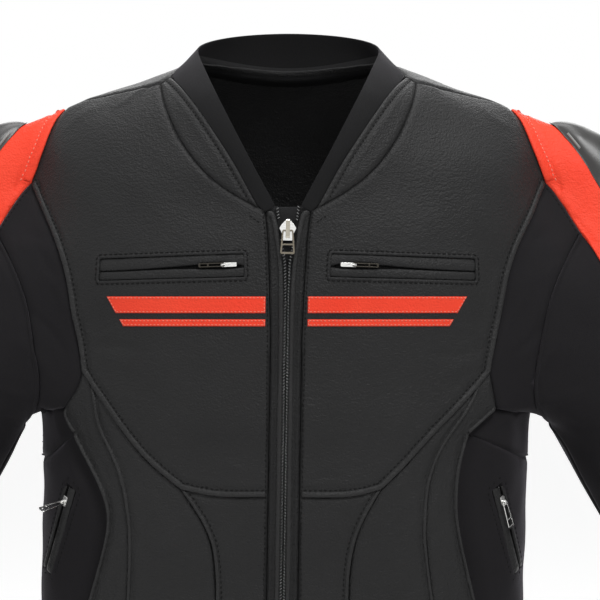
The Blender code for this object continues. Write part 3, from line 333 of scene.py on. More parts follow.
# ---------------------------------------------------------------- seams
# The panels are sewn in two ways. At a plain seam both edges turn inwards and leave a valley. At a lapped
# seam the upper panel's edge is turned under, lies on its neighbour as a soft roll and is stitched down.

ROLLS = {
    # upper panel, the panels under it: width of the roll, its height, from the edge to the stitches, in mm
    ("chest", "gusset lower_front side_front flank"): (4.8, 1.3, 5.7),
    ("shoulder_red", "chest back_yoke"): (8.0, 1.2, 8.8),
    ("shoulder_red", "sleeve_outer"): (4.0, 1.0, 5.0),
    ("shoulder_red", "sleeve_front"): (3.2, 0.8, None),
    ("lower_front", "side_front"): (3.4, 1.4, 4.4),
    ("side_front", "flank"): (3.2, 1.6, None),
    ("flank", "side"): (3.4, 2.2, None),
    ("flank", "underarm"): (3.0, 1.6, None),
    ("sleeve_front", "gusset"): (3.2, 0.7, None),
    ("sleeve_outer", "sleeve_front sleeve_under gusset"): (4.0, 1.0, 5.0),
    ("back_yoke", "back_centre"): (5.0, 1.2, 6.0),
    ("back_centre", "side gusset"): (4.6, 1.3, 5.4),
    ("back_centre", "accordion"): (4.0, 1.2, 5.0),
    ("accordion", "side"): (3.0, 1.0, 4.0),
    ("placket", "open"): (5.0, 2.0, None),
    ("collar_leather", "open"): (4.0, 0.9, 4.8),
    ("cuff", "open"): (4.0, 1.0, None),
}
ROLLED = {(upper, lower): roll for (upper, under), roll in ROLLS.items() for lower in under.split()}
STITCHED = {
    # panel, neighbour: from the seam to the stitches on this panel, in mm
    ("chest", "placket"): 1.6, ("lower_front", "placket"): 1.6, ("gusset", "shoulder_red"): 3.2,
    ("chest", "open"): 10.0, ("lower_front", "open"): 12.0, ("side_front", "open"): 12.0,
    ("flank", "open"): 12.0, ("side", "open"): 12.0, ("back_centre", "open"): 12.0,
}
ROLL_PROFILE = ((0.02, -0.9), (-0.05, -0.1), (0.02, 0.55), (0.14, 0.9), (0.32, 1.0), (0.55, 0.9),
                (0.78, 0.62), (0.93, 0.22), (1.0, -0.3))       # share across, share of the height
# distance from the seam and height of the panel's face, in mm
UNDER_EDGE = ((0, -1.5), (1.5, -1.2), (4, -0.3), (8, 0.15), (13, 0))
DEEP_UNDER = ((0, -4.5), (3, -4.4), (8, -3.0), (16, 0))
PLAIN_EDGE = ((0, -1.5), (0.8, -1.0), (2.2, -0.1), (4.5, 0.35), (9, 0.15), (14, 0))
OPEN_EDGE = ((0, -0.7), (1.2, -0.1), (3, 0.25), (7, 0.1), (12, 0))
SEAM_REACH = 16 * MM
UNDER_ROLL = ((0, -0.3), (0.7, -0.2))       # share of the roll's width, mm up
# beyond the roll's stitches by that many mm there is a groove: mm further on, mm up
GROOVE_FROM, GROOVE = 0.6, ((0, -0.75), (2.2, -0.1), (4.5, 0.25), (9, 0))


def base(name):
    return name[:-2] if name.endswith(("_l", "_r")) else name


def face_profile(panel, neighbour):
    """Distances from the seam with the neighbour, and heights of the panel's face there"""
    roll = ROLLED.get((base(panel), base(neighbour)))
    if roll:
        width, _, row = roll
        groove = (row or width) + GROOVE_FROM
        return (*((width * share, up) for share, up in UNDER_ROLL),
                *((groove + beyond, up) for beyond, up in GROOVE))
    if (base(neighbour), base(panel)) in ROLLED:
        return DEEP_UNDER if base(neighbour) == "flank" else UNDER_EDGE
    return OPEN_EDGE if neighbour == "open" else PLAIN_EDGE


# each seam edge: its middle, its direction and the two panels it joins
seam_flags, open_flags = seam_edges(smooth)
shell_points, shell_normals = points_of(smooth), read(smooth.vertex_normals, "vector", 3)
shell_ends, shell_panels = read(smooth.edges, "vertices", 2, int), face_slots(smooth)
joins = {int(k): [] for k in np.flatnonzero(seam_flags | open_flags)}
for face in smooth.polygons:
    for edge in (smooth.loops[k].edge_index for k in face.loop_indices):
        if edge in joins:
            joins[edge].append(panel_names[face.material_index])
seam_runs = {}      # pair of panels: its edges as pairs of points
seam_tree = KDTree(len(joins))
seam_list = []
for edge, sides in joins.items():
    pair = tuple(sorted(sides + ["open"] * (2 - len(sides))))
    seam_runs.setdefault(pair, []).append(tuple(int(k) for k in shell_ends[edge]))
    start, end = (shell_points[k] for k in shell_ends[edge])
    seam_tree.insert((start + end) / 2, len(seam_list))
    seam_list.append((pair, (start + end) / 2, (end - start) / np.linalg.norm(end - start)))
seam_tree.balance()


def relief(panel, points):
    """Height of a panel's face at each point, from the seams around it"""
    heights = np.zeros(len(points))
    for k, point in enumerate(points):
        total, nearest = 0.0, {}
        for _, index, distance in seam_tree.find_range(point, SEAM_REACH):
            pair = seam_list[index][0]
            if panel in pair and distance < nearest.get(pair, (math.inf, 0))[0]:
                nearest[pair] = (distance, index)
        for pair, (distance, index) in nearest.items():
            _, middle, along = seam_list[index]
            away = point - middle
            away -= along * away.dot(along)
            neighbour = pair[0] if pair[1] == panel else pair[1]
            reach, height = zip(*face_profile(panel, neighbour))
            here = np.interp(np.linalg.norm(away) / MM, reach, height) * MM
            total = min(total, here) if here < 0 or total < 0 else max(total, here)
        heights[k] = total
    return heights


# ---------------------------------------------------------------- wear folds
# Leather that has been worn keeps soft folds: they fan out from the armhole's lower corner and from the
# collar's end, and lie slanted over the lower front. Stretch cloth gathers at the armpit.

FOLDS = (
    # from x, z to x, z in mm on the front, height and half width in mm, and 0 for one on each side
    (-178, -10, -150, 8, 0.6, 2.2, -1), (-150, -12, -118, 14, 0.7, 2.4, -1),
    (-132, -10, -112, 12, -0.7, 1.8, -1), (-122, -22, -110, 8, 0.6, 1.6, -1),
    (-196, -34, -150, -6, 0.5, 3.5, -1),
    (128, 4, 112, 14, 0.6, 2.0, 1), (150, -2, 118, 12, -0.6, 2.0, 1), (196, -30, 156, -4, 0.5, 3.5, 1),
    (168, -214, 118, -220, -0.9, 4.0, 0), (168, -208, 140, -196, 0.7, 3.5, 0),
    (166, -222, 120, -236, 0.6, 4.5, 0), (170, -200, 150, -168, -0.6, 5.0, 0),
    (24, -318, 60, -306, 0.5, 3.0, 0), (20, -326, 48, -322, -0.4, 2.2, 0),
    (100, -262, 74, -302, 0.4, 6.0, 0), (118, -250, 92, -290, -0.4, 5.0, 0),
    (128, -330, 100, -372, 0.9, 7.0, 0), (138, -352, 104, -400, -0.9, 6.0, 0),
    (120, -318, 84, -350, -0.6, 5.0, 0), (112, -392, 88, -420, 0.7, 6.0, 0),
    (150, -296, 136, -330, 0.9, 5.0, 0), (158, -310, 148, -352, -0.8, 4.0, 0),
    (45, -352, 62, -380, -0.4, 4.0, 0), (30, -372, 40, -420, 0.35, 5.0, 0),
    (205, -150, 178, -206, 0.9, 5.0, 0), (222, -182, 186, -224, -1.2, 4.5, 0),
    (232, -206, 196, -246, 1.2, 5.0, 0), (214, -120, 194, -160, -0.7, 5.0, 0),
    (250, -250, 214, -262, 1.0, 4.0, 0), (262, -286, 232, -276, -0.9, 4.0, 0),
)
FOLD_BOW, FOLD_TAPER = 0.07, 0.6    # share of its length that a fold bows, and how its ends run out
FOLDS_BACK = 20 * MM        # y behind which the folds end
WAVE_LENGTHS = (26, 37, 53, 71, 97, 131)    # of the soft unevenness of worn cloth, in mm
WAVE_STEEPNESS, WAVES_EACH = 0.0054, 3


def wear(points):
    """Height of the folds and of the soft unevenness at each point"""
    x, z = points[:, 0] / MM, points[:, 2] / MM
    heights = np.zeros(len(points))
    for x0, z0, x1, z1, height, width, sides in FOLDS:
        for side in ((1, -1) if sides == 0 else (1,)):
            dx, dz = (x1 - x0) * side, z1 - z0
            from_x, from_z = x - x0 * side, z - z0
            share = np.clip((from_x * dx + from_z * dz) / (dx * dx + dz * dz), 0, 1)
            bow = FOLD_BOW * np.hypot(dx, dz) * np.sin(math.pi * share) * (1 if z0 % 4 < 2 else -1)
            away = (from_x * dz - from_z * dx) / np.hypot(dx, dz) - bow
            beyond = np.hypot(from_x - share * dx, from_z - share * dz)
            distance = np.where((share > 0) & (share < 1), np.abs(away), beyond)
            taper = np.sin(math.pi * share) ** FOLD_TAPER
            heights += height * MM * np.exp(-(distance / width) ** 2) * taper
    heights[points[:, 1] > FOLDS_BACK] = 0
    dice = np.random.default_rng(7)
    for length in WAVE_LENGTHS:
        for _ in range(WAVES_EACH):
            way = dice.normal(size=3)
            way *= 2 * math.pi / (length * MM) / np.linalg.norm(way)
            heights += WAVE_STEEPNESS * length * MM * np.sin(points @ way + dice.uniform(0, 2 * math.pi)) / 2
    return heights


# ---------------------------------------------------------------- panels
# Each panel becomes a piece of its own: one cut of cloth, with its face shaped by its seams and folds,
# its turned edges rolled over the neighbours, and its real thickness.

FINE_LEVELS = {"accordion": 2}
THICKNESS = {"black_leather": 1.5 * MM, "red_leather": 1.5 * MM, "stretch_cloth": 1.1 * MM}
RIB_PITCH, RIB_HEIGHT, RIB_SINK = 5.5 * MM, 1.5 * MM, 0.4      # of the gathered accordion panels
ROLL_STEP, ROLL_END = 2.0 * MM, 0.25           # its ends turn down by that many mm
PLACKET_SINK = 0.9 * MM         # its flat middle lies lower than the chest
# how far its rolled edges reach over the zip at two heights, less than 0 where they stay back from it
PLACKET_OVERHANG, OVERHANG_Z = (-0.1 * MM, 0), (-160 * MM, -132 * MM)
STITCH_PITCH = 4.3 * MM
STITCH = Vector((1.45, 0.58, 0.45)) * MM        # half its length, width and height

normal_attribute = smooth.attributes.new("shell_normal", "FLOAT_VECTOR", "POINT")
normal_attribute.data.foreach_set("vector", shell_normals.astype(np.float32).ravel())
for name in panel_names:
    smooth.materials.append(bpy.data.materials.new("cut " + name))
shell_tree = tree_of(smooth)
whole = add_object("shell", smooth)
bpy.ops.object.select_all(action="DESELECT")
whole.select_set(True)
bpy.context.view_layer.objects.active = whole
bpy.ops.mesh.separate(type="MATERIAL")
cuts = {}
for cut in [o for o in bpy.context.scene.objects if o.type == "MESH" and o.name.startswith("shell")]:
    cuts[cut.data.materials[0].name.removeprefix("cut ")] = cut


def chains(pairs):
    """Runs of vertices along edges, from end to end"""
    beside = {}
    for a, b in pairs:
        beside.setdefault(a, []).append(b)
        beside.setdefault(b, []).append(a)
    runs = []
    while beside:
        start = min(beside, key=lambda k: (len(beside[k]) != 1, k))
        run = [start]
        while beside.get(run[-1]):
            following = beside[run[-1]].pop()
            beside[following].remove(run[-1])
            run.append(following)
        runs.append(run)
        beside = {k: ends for k, ends in beside.items() if ends}
    return runs


def along(run, step):
    """Points a step apart along a run of shell vertices, with the way the run goes there"""
    points = shell_points[run]
    lengths = np.concatenate(([0], np.cumsum(np.linalg.norm(np.diff(points, axis=0), axis=1))))
    count = max(2, round(lengths[-1] / step))
    at = np.linspace(0, lengths[-1], count + 1)
    spots = np.stack([np.interp(at, lengths, points[:, k]) for k in range(3)], 1)
    ways = np.gradient(spots, axis=0)
    return spots, ways / np.linalg.norm(ways, axis=1, keepdims=True)


VOTE_REACH, VOTE_NEAR = 2.5 * MM, 1.2 * MM      # a panel's own side has its cloth this near, that far in


def beside_seam(panel, run, step):
    """Points along a run with the way along it, the way into the panel, and the way out of the shell"""
    spots, ways = along(run, step)
    rows, votes = [], 0
    for spot, way in zip(spots, ways):
        _, normal, _, _ = shell_tree.find_nearest(spot)
        way = Vector(way)
        into = normal.cross(way).normalized()
        rows.append((Vector(spot), way, into, normal))
        _, _, face, distance = shell_tree.find_nearest(Vector(spot) + into * VOTE_REACH)
        votes += 1 if panel_names[shell_panels[face]] == panel and distance < VOTE_NEAR else -1
    side = 1 if votes > 0 else -1
    return [(spot, way, into * side, normal) for spot, way, into, normal in rows]


def laid_grid(bm, count, section, place):
    """A grid of faces turned to look out of the shell. place gives its point for a row and for a point of
    the section across it."""
    across = len(section) - 1
    made = bmesh.ops.create_grid(bm, x_segments=across, y_segments=count, size=1)["verts"]
    for vert in made:
        vert.co = place(round((vert.co.y + 1) / 2 * count), *section[round((vert.co.x + 1) / 2 * across)])
    faces = list({f for v in made for f in v.link_faces})
    bm.normal_update()
    if sum(f.normal.dot(shell_tree.find_nearest(f.calc_center_median())[1]) for f in faces) < 0:
        bmesh.ops.reverse_faces(bm, faces=faces)
    return made


def edge_roll(bm, panel, run, width, height, face_tree):
    """A panel's edge, turned under into a soft roll that lies along the seam"""
    rows = beside_seam(panel, run, ROLL_STEP)

    def place(k, share, lift):
        spot, _, into, normal = rows[k]
        end = min(1, (k + 0.5) / 2, (len(rows) - k - 0.5) / 2)
        inwards = share * width * MM
        if base(panel) == "placket":
            inwards -= np.interp(spot.z, OVERHANG_Z, PLACKET_OVERHANG)
        ground, _, _, _ = face_tree.find_nearest(spot + into * max(inwards, 0))
        return ground + into * min(inwards, 0) + normal * (lift * height * end - ROLL_END * (1 - end)) * MM

    for vert in laid_grid(bm, len(rows) - 1, ROLL_PROFILE, place):
        for made in vert.link_faces:
            made.material_index = 1      # the roll's faces, which take the painted highlight


STRIP_STEP = 4.0 * MM
ALLOWANCES = {
    # panel, neighbour: the allowance's section, in mm into the panel and mm off the shell
    ("side", "flank"): ((1.5, -4.9), (-3, -4.9), (-10, -4.4)),
    ("underarm", "flank"): ((1.5, -4.9), (-3, -4.9), (-10, -4.4)),
    ("back_yoke", "open"): ((2.5, -1.6), (-2, -1.4), (-8, -1.2)),
}


def seam_allowance(bm, panel, run, section):
    """The strip of a panel that goes on under its neighbour"""
    rows = beside_seam(panel, run, STRIP_STEP)

    def place(k, inwards, up):
        spot, _, into, normal = rows[k]
        return spot + (into * inwards + normal * up) * MM

    laid_grid(bm, len(rows) - 1, section, place)


def bead(bm, place, way, across, normal, size, fineness):
    """A small ellipsoid with its half length, width and height along those three ways"""
    turn = Matrix((way, across, normal)).transposed().to_4x4()
    bmesh.ops.create_icosphere(bm, subdivisions=fineness, radius=1,
                               matrix=Matrix.Translation(place) @ turn @ Matrix.Diagonal((*size, 1)))


def stitch_row(bm, rows, away, face_tree, size=STITCH, lift=0.12):
    """Thread that shows on a panel's face, one small capsule for each stitch"""
    for spot, way, into, normal in rows:
        place, _, _, _ = face_tree.find_nearest(spot + into * away * MM)
        bead(bm, place + normal * lift * MM, way, normal.cross(way), normal, size, fineness=1)


LEAN, LEAN_FROM = 0.0155, -0.11     # the front's middle leans this much to the right below that height
WINDOWS = {
    # a pocket window's corners, x and z in mm from the zip's line; how many cuts are put in each edge round
    # it; and from and to how far inside the window its floor falls, in mm
    "chest": (((32.5, -158.8), (161, -162), (160, -137.4), (33.8, -133.2)), 1, (1.2, 2.8)),
    "side": (((174.5, -336), (196.5, -409), (203.5, -402), (184, -328)), 2, (0.3, 1.8)),
}
WINDOW_DEPTH = 2.8 * MM
WINDOW_RIM = 5               # mm each side of a window's edge where the panel is cut finely


def front_spot(x, z, side):
    """x and z in metres of a spot that is given in mm from the zip's line"""
    return x * side * MM + LEAN * min(z * MM - LEAN_FROM, 0), z * MM


def inside(corners, side, points):
    """How far each point is inside a window, in mm, less than 0 outside and behind"""
    spots = [Vector(front_spot(x, z, side)) for x, z in corners]
    middle = sum(spots, Vector((0, 0))) / len(spots)
    depth = np.full(len(points), 1.0)
    for start, end in zip(spots, spots[1:] + spots[:1]):
        across = Vector((start.y - end.y, end.x - start.x)).normalized()
        if across.dot(middle - start) < 0:
            across = -across
        depth = np.minimum(depth, (points[:, 0] - start.x) * across.x + (points[:, 2] - start.y) * across.y)
    return np.where(points[:, 1] < 0, depth, -1) / MM


def side_of(name):
    return -1 if name.endswith("_r") else 1


def add_wall(piece, thickness):
    wall = piece.modifiers.new("Thickness", "SOLIDIFY")
    wall.thickness, wall.offset = thickness, -1


stitching = {"black": bmesh.new(), "red": bmesh.new()}
panel_trees = {}
for name, cut in cuts.items():
    slot, _, _, _, is_fine = PANELS[base(name)]
    add_subdivision(cut, FINE_LEVELS.get(base(name), 1 if is_fine else 0), "PRESERVE_CORNERS")
    face = evaluated(cut)
    bpy.data.objects.remove(cut)
    window = WINDOWS.get(base(name))
    if window:
        bm = bmesh_of(face)
        near = np.abs(inside(window[0], side_of(name), points_of(face)) - 1) < WINDOW_RIM
        bmesh.ops.subdivide_edges(bm, edges=[e for e in bm.edges if all(near[v.index] for v in e.verts)],
                                  cuts=window[1], use_grid_fill=True)
        stored(bm, face)
    points = points_of(face)
    normals = read(face.attributes["shell_normal"].data, "vector", 3)
    normals /= np.linalg.norm(normals, axis=1, keepdims=True)
    heights = relief(name, points) + wear(points)
    if base(name) == "placket":
        heights -= PLACKET_SINK
    if base(name) == "accordion":
        heights += RIB_HEIGHT * (np.cos(points[:, 2] * 2 * math.pi / RIB_PITCH) - RIB_SINK)
    points = points + normals * heights[:, None]
    place_points(face, points)
    for polygon in face.polygons:
        polygon.material_index = 0
    bm = bmesh_of(face)
    bm.normal_update()
    face_tree = BVHTree.FromBMesh(bm)
    panel_trees[name] = face_tree
    if window:
        floor_depth = np.interp(inside(window[0], side_of(name), points), window[2], (0, WINDOW_DEPTH))
        for vert, normal, depth in zip(bm.verts, normals, floor_depth):
            vert.co -= Vector(normal) * depth
    rolls, rows = {}, {}
    for pair, edges in seam_runs.items():
        if name in pair:
            neighbour = base(pair[0] if pair[1] == name else pair[1])
            roll = ROLLED.get((base(name), neighbour))
            away = roll[2] if roll else STITCHED.get((base(name), neighbour))
            if (base(name), neighbour) in ALLOWANCES:
                for run in chains(edges):
                    seam_allowance(bm, name, run, ALLOWANCES[base(name), neighbour])
            if roll:
                rolls.setdefault(roll[:2], []).extend(edges)
            if away:
                rows.setdefault(away, []).extend(edges)
    for (width, height), edges in rolls.items():
        for run in chains(edges):
            edge_roll(bm, name, run, width, height, face_tree)
    for away, edges in rows.items():
        for run in chains(edges):
            stitch_row(stitching["red" if slot == "red_leather" else "black"],
                       beside_seam(name, run, STITCH_PITCH), away, face_tree)
    stored(bm, face)
    for polygon in face.polygons:
        polygon.use_smooth = True
    face.attributes.remove(face.attributes["shell_normal"])
    cuts[name] = add_object(name + "_panel", face)
    add_wall(cuts[name], THICKNESS[slot])


# ---------------------------------------------------------------- leather
# Cowhide with a fine even pebble, dyed through and finished matt. The red one has a fluorescent
# pigment top coat. Grain, pores and small stretch wrinkles are in the surface.

def new_material(name):
    material = bpy.data.materials.new(name)
    material.use_nodes = True
    return material, material.node_tree


def texture_at(tree, kind, scale, stretch=(1, 1, 1), turn=(0, 0, 0), **settings):
    """A procedural texture on Object coordinates, stretched and turned"""
    place = tree.nodes.new("ShaderNodeTexCoord")
    mapping = tree.nodes.new("ShaderNodeMapping")
    mapping.inputs["Scale"].default_value = stretch
    mapping.inputs["Rotation"].default_value = turn
    texture = tree.nodes.new("ShaderNodeTex" + kind)
    texture.inputs["Scale"].default_value = scale
    for key, value in settings.items():
        texture.inputs[key].default_value = value
    tree.links.new(place.outputs["Object"], mapping.inputs["Vector"])
    tree.links.new(mapping.outputs["Vector"], texture.inputs["Vector"])
    return texture


def add_bump(tree, height, depth, strength, before=None):
    """A bump of that many metres on top of the one before, which the material's surface takes"""
    bump = tree.nodes.new("ShaderNodeBump")
    bump.inputs["Distance"].default_value = depth
    bump.inputs["Strength"].default_value = strength
    tree.links.new(height, bump.inputs["Height"])
    if before:
        tree.links.new(before.outputs["Normal"], bump.inputs["Normal"])
    tree.links.new(bump.outputs["Normal"], tree.nodes["Principled BSDF"].inputs["Normal"])
    return bump


def colour_by(tree, share, first, second, shine, reach=(0.3, 0.7)):
    """Colours that go from the first to the second as the share goes over its reach, and the shader's
    other settings"""
    shader = tree.nodes["Principled BSDF"]
    ramp = tree.nodes.new("ShaderNodeValToRGB")
    for element, position, colour in zip(ramp.color_ramp.elements, reach, (first, second)):
        element.position, element.color = position, (*colour, 1)
    tree.links.new(share, ramp.inputs["Fac"])
    tree.links.new(ramp.outputs["Color"], shader.inputs["Base Color"])
    for socket, value in shine.items():
        shader.inputs[socket].default_value = value


def vary_roughness(tree, share, low, high):
    rough = tree.nodes.new("ShaderNodeMapRange")
    rough.inputs["To Min"].default_value, rough.inputs["To Max"].default_value = low, high
    tree.links.new(share, rough.inputs["Value"])
    tree.links.new(rough.outputs["Result"], tree.nodes["Principled BSDF"].inputs["Roughness"])


def leather(name, pale, deep, roughness, sheen, grain=1.0):
    material, tree = new_material(name)
    pebble = texture_at(tree, "Voronoi", scale=700)
    pebble.feature = "SMOOTH_F1"
    wrinkle = texture_at(tree, "Noise", scale=190, stretch=(1, 1, 2.2), turn=(0, 0.7, 0),
                         Detail=5.0, Roughness=0.62)
    patch = texture_at(tree, "Noise", scale=14, Detail=4.0)
    bump = add_bump(tree, wrinkle.outputs["Fac"], depth=0.0012 * grain, strength=0.75)
    add_bump(tree, pebble.outputs["Distance"], depth=0.0007 * grain, strength=0.8, before=bump)
    colour_by(tree, patch.outputs["Fac"], deep, pale,
              {"Specular IOR Level": 0.16, "Sheen Weight": sheen, "Sheen Roughness": 0.45})
    vary_roughness(tree, wrinkle.outputs["Fac"], roughness - 0.06, roughness + 0.08)
    return material


black_leather = leather("black leather", pale=(0.0160, 0.0160, 0.0163), deep=(0.0125, 0.0125, 0.0128),
                        roughness=0.46, sheen=0.02)
# darker leather for the placket: painted shade in the valley beside the zip
placket_shade_leather = leather("placket leather", pale=(0.0105, 0.0105, 0.0108), deep=(0.0085, 0.0085, 0.0087),
                          roughness=0.50, sheen=0.01)
# lighter leather for the rolled edges: a painted highlight on the ridges
roll_highlight_leather = leather("rubbed black leather", pale=(0.023, 0.023, 0.0233), deep=(0.018, 0.018, 0.0182),
                         roughness=0.42, sheen=0.03)
red_leather = leather("red leather", pale=(1.0, 0.080, 0.038), deep=(0.97, 0.062, 0.029),
                      roughness=0.50, sheen=0.05, grain=0.6)


# ---------------------------------------------------------------- stretch cloth
# A dense warp knit with a fine cross rib, a little stretch and a soft grey sheen where the light
# grazes it. It lets the sleeves and the sides give.

def stretch(name, colour, pale, rib):
    material, tree = new_material(name)
    ribs = texture_at(tree, "Wave", scale=rib, turn=(0, 0.35, 0), Distortion=0.35)
    ribs.bands_direction = "Z"
    yarn = texture_at(tree, "Noise", scale=1400, Detail=2.0)
    bump = add_bump(tree, ribs.outputs["Fac"], depth=0.00025, strength=0.5)
    add_bump(tree, yarn.outputs["Fac"], depth=0.0003, strength=0.6, before=bump)
    colour_by(tree, yarn.outputs["Fac"], colour, pale,
              {"Roughness": 0.8, "Specular IOR Level": 0.1, "Sheen Weight": 0.22, "Sheen Roughness": 0.35,
               "Sheen Tint": (0.62, 0.58, 0.66, 1)})
    return material


stretch_cloth = stretch("stretch cloth", (0.010, 0.0095, 0.0105), (0.016, 0.015, 0.0165), rib=420)
CLOTHS = {"black_leather": black_leather, "red_leather": red_leather, "stretch_cloth": stretch_cloth}
for name, piece in cuts.items():
    slot, width, length, share, _ = PANELS[base(name)]
    highlit_roll_faces = face_slots(piece.data)
    piece.data.materials.clear()        # this puts every face in the first slot
    # the placket's faces take the leather with painted shade
    piece.data.materials.append(placket_shade_leather if base(name) == "placket" else CLOTHS[slot])
    # the rolls' faces take the leather with the painted highlight
    piece.data.materials.append(roll_highlight_leather if slot == "black_leather" else CLOTHS[slot])
    piece.data.polygons.foreach_set("material_index", highlit_roll_faces.astype(np.int32))
    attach(piece, "jacket")
    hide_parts(name)


# ---------------------------------------------------------------- chest pockets
# Each chest pocket has a window with a turned frame, stitched all round. Behind it two puffed leather lips
# meet over a black coil zip, and part where the slider is. The zip's tape and coil are painted near black,
# for the shade deep in the slit.

def on_front(tree, x, z, side):
    """The place and the normal of a panel's face at x and z, in mm from the zip's line"""
    across, up = front_spot(x, z, side)
    place, normal, _, _ = tree.ray_cast(Vector((across, -1, up)), Vector((0, 1, 0)))
    return place, normal


CORNER_STEPS = 6            # in each rounded corner of a window or stripe


def rounded(corners, radius, step):
    """Points a step apart round an outline whose corners are rounded, all in mm"""
    corners = [Vector(c) for c in corners]
    bends = []
    for before, corner, after in zip(corners[-1:] + corners[:-1], corners, corners[1:] + corners[:1]):
        to_before, to_after = (before - corner).normalized(), (after - corner).normalized()
        for k in range(CORNER_STEPS + 1):
            share = k / CORNER_STEPS
            bends.append(corner + to_before * radius * (1 - share)**2 + to_after * radius * share**2)
    bends.append(bends[0])
    lengths = np.concatenate(([0], np.cumsum([(b - a).length for a, b in zip(bends, bends[1:])])))
    at = np.linspace(0, lengths[-1], round(lengths[-1] / step) + 1)[:-1]
    return list(zip(*(np.interp(at, lengths, [bend[k] for bend in bends]) for k in (0, 1))))


def round_rows(corners, radius, step, side, tree):
    """Rows round a window or patch, as beside_seam gives them, with the way into it"""
    spots = rounded(corners, radius, step)
    rows = []
    for before, here, after in zip(spots[-1:] + spots[:-1], spots, spots[1:] + spots[:1]):
        place, normal = on_front(tree, *here, side)
        way = Vector(((after[0] - before[0]) * side, 0, after[1] - before[1])).normalized()
        way = (way - normal * way.dot(normal)).normalized()
        rows.append((place, way, normal.cross(way), normal))
    middle = sum((row[0] for row in rows), Vector()) / len(rows)
    turn = 1 if sum((middle - place).dot(into) for place, _, into, _ in rows) > 0 else -1
    return [(place, way, into * turn, normal) for place, way, into, normal in rows]


def ring(bm, rows, profile, tree):
    """A closed strip laid round a window, with a profile of mm inwards and mm up"""
    def place(k, inwards, up):
        spot, _, into, normal = rows[k % len(rows)]
        ground, _, _, _ = tree.find_nearest(spot + into * inwards * MM)
        return ground + normal * up * MM

    made = laid_grid(bm, len(rows), profile, place)
    bmesh.ops.remove_doubles(bm, verts=made, dist=SAME_POINT)


STRIP_END = 0.8             # mm that a strip's ends turn down
STRIP_SKIN = 0.5 * MM       # thickness of zip tapes and stripes


def lip(bm, edge, slit, side, tree, profile, count):
    """A puffed strip between a window's edge and a slit's, which are lines of (x, z) in mm"""
    lines = []
    for line in (edge, slit):
        shares = np.linspace(0, 1, len(line))
        lines.append([[np.interp(k / count, shares, [spot[a] for spot in line]) for a in (0, 1)]
                      for k in range(count + 1)])

    def place(k, share, up):
        x, z = (a * (1 - share) + b * share for a, b in zip(lines[0][k], lines[1][k]))
        ground, normal = on_front(tree, x, z, side)
        end = STRIP_END * max(0, 1 - k / 2, 1 - (count - k) / 2)
        return ground + normal * (up - end) * MM

    laid_grid(bm, count, profile, place)


def new_piece(name, bm, material, slot, replaced=(), thickness=None, flat=None, area=None, body="jacket"):
    """Puts a finished bmesh on its body, with its material. The slot, the flat size and the area are not
    used.
    """
    for face in bm.faces:
        face.smooth = True
    piece = add_object(name, stored(bm, bpy.data.meshes.new(name)))
    piece.data.materials.append(material)
    if thickness:
        add_wall(piece, thickness)
    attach(piece, body)
    if replaced:
        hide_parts(*replaced)
    return piece


def sewn_strips(strips, count, side, tree, name, material, slot, replaced, **sheet):
    """One piece of several strips, each from an edge to a slit with a profile between them"""
    bm = bmesh.new()
    for edge, slit, profile in strips:
        lip(bm, edge, slit, side, tree, profile, count)
    new_piece(name, bm, material, slot, (replaced,), **sheet)


def woven(name, colour, pale, pitch, roughness=0.55):
    material, tree = new_material(name)
    warp = texture_at(tree, "Wave", scale=pitch, turn=(0, 0.6, 0), Distortion=0.2)
    weft = texture_at(tree, "Wave", scale=pitch, turn=(0, -0.6, 0), Distortion=0.2)
    weft.bands_direction = "Z"
    crossing = tree.nodes.new("ShaderNodeMath")
    crossing.operation = "MULTIPLY"
    tree.links.new(warp.outputs["Fac"], crossing.inputs[0])
    tree.links.new(weft.outputs["Fac"], crossing.inputs[1])
    add_bump(tree, crossing.outputs["Value"], depth=0.0003, strength=0.8)
    colour_by(tree, crossing.outputs["Value"], colour, pale,
              {"Roughness": roughness, "Specular IOR Level": 0.15}, reach=(0.1, 0.9))
    return material


def nylon(name, colour, pale):
    material, tree = new_material(name)
    grain = texture_at(tree, "Noise", scale=1800, Detail=2.0)
    add_bump(tree, grain.outputs["Fac"], depth=0.0001, strength=0.4)
    colour_by(tree, grain.outputs["Fac"], colour, pale, {"Roughness": 0.18, "Specular IOR Level": 1.0})
    return material


zip_cloth = woven("zip tape cloth", (0.007, 0.007, 0.0075), (0.012, 0.012, 0.0125), pitch=900)
# black nylon, its colour lifted to a dark grey: a painted glint on the coil
coil_nylon_painted_glint = nylon("coil nylon", (0.040, 0.040, 0.041), (0.055, 0.055, 0.056))
# near-black cloth for the chest pockets' tape and coil: painted shade, deep in the slit
slit_shade_cloth = woven("pocket cloth", (0.0015, 0.0015, 0.0016), (0.003, 0.003, 0.0031), pitch=900,
                     roughness=0.95)


def tooth(bm, place, way, across, normal, slant, size):
    """One turn of a zip's coil, a small slanted bead"""
    length = (across * math.cos(slant) + way * math.sin(slant)).normalized()
    bead(bm, place, length, normal.cross(length), normal, Vector(size) * MM, fineness=2)


# mm into the window and mm up
CHEST_FRAME = ((-1.2, -0.6), (-0.5, -0.2), (0.2, -0.25), (0.6, 0.25), (1.2, 0.55), (2.0, 0.55), (2.7, 0.3),
               (3.1, -0.5), (3.2, -2.0))
# share of the way from the window's edge to the slit, and mm up
LIP = ((-0.04, -2.2), (0.0, -1.2), (0.1, -0.3), (0.28, 0.15), (0.5, 0.3), (0.72, 0.25), (0.88, -0.05),
       (0.97, -0.7), (1.0, -1.5), (0.99, -2.3))
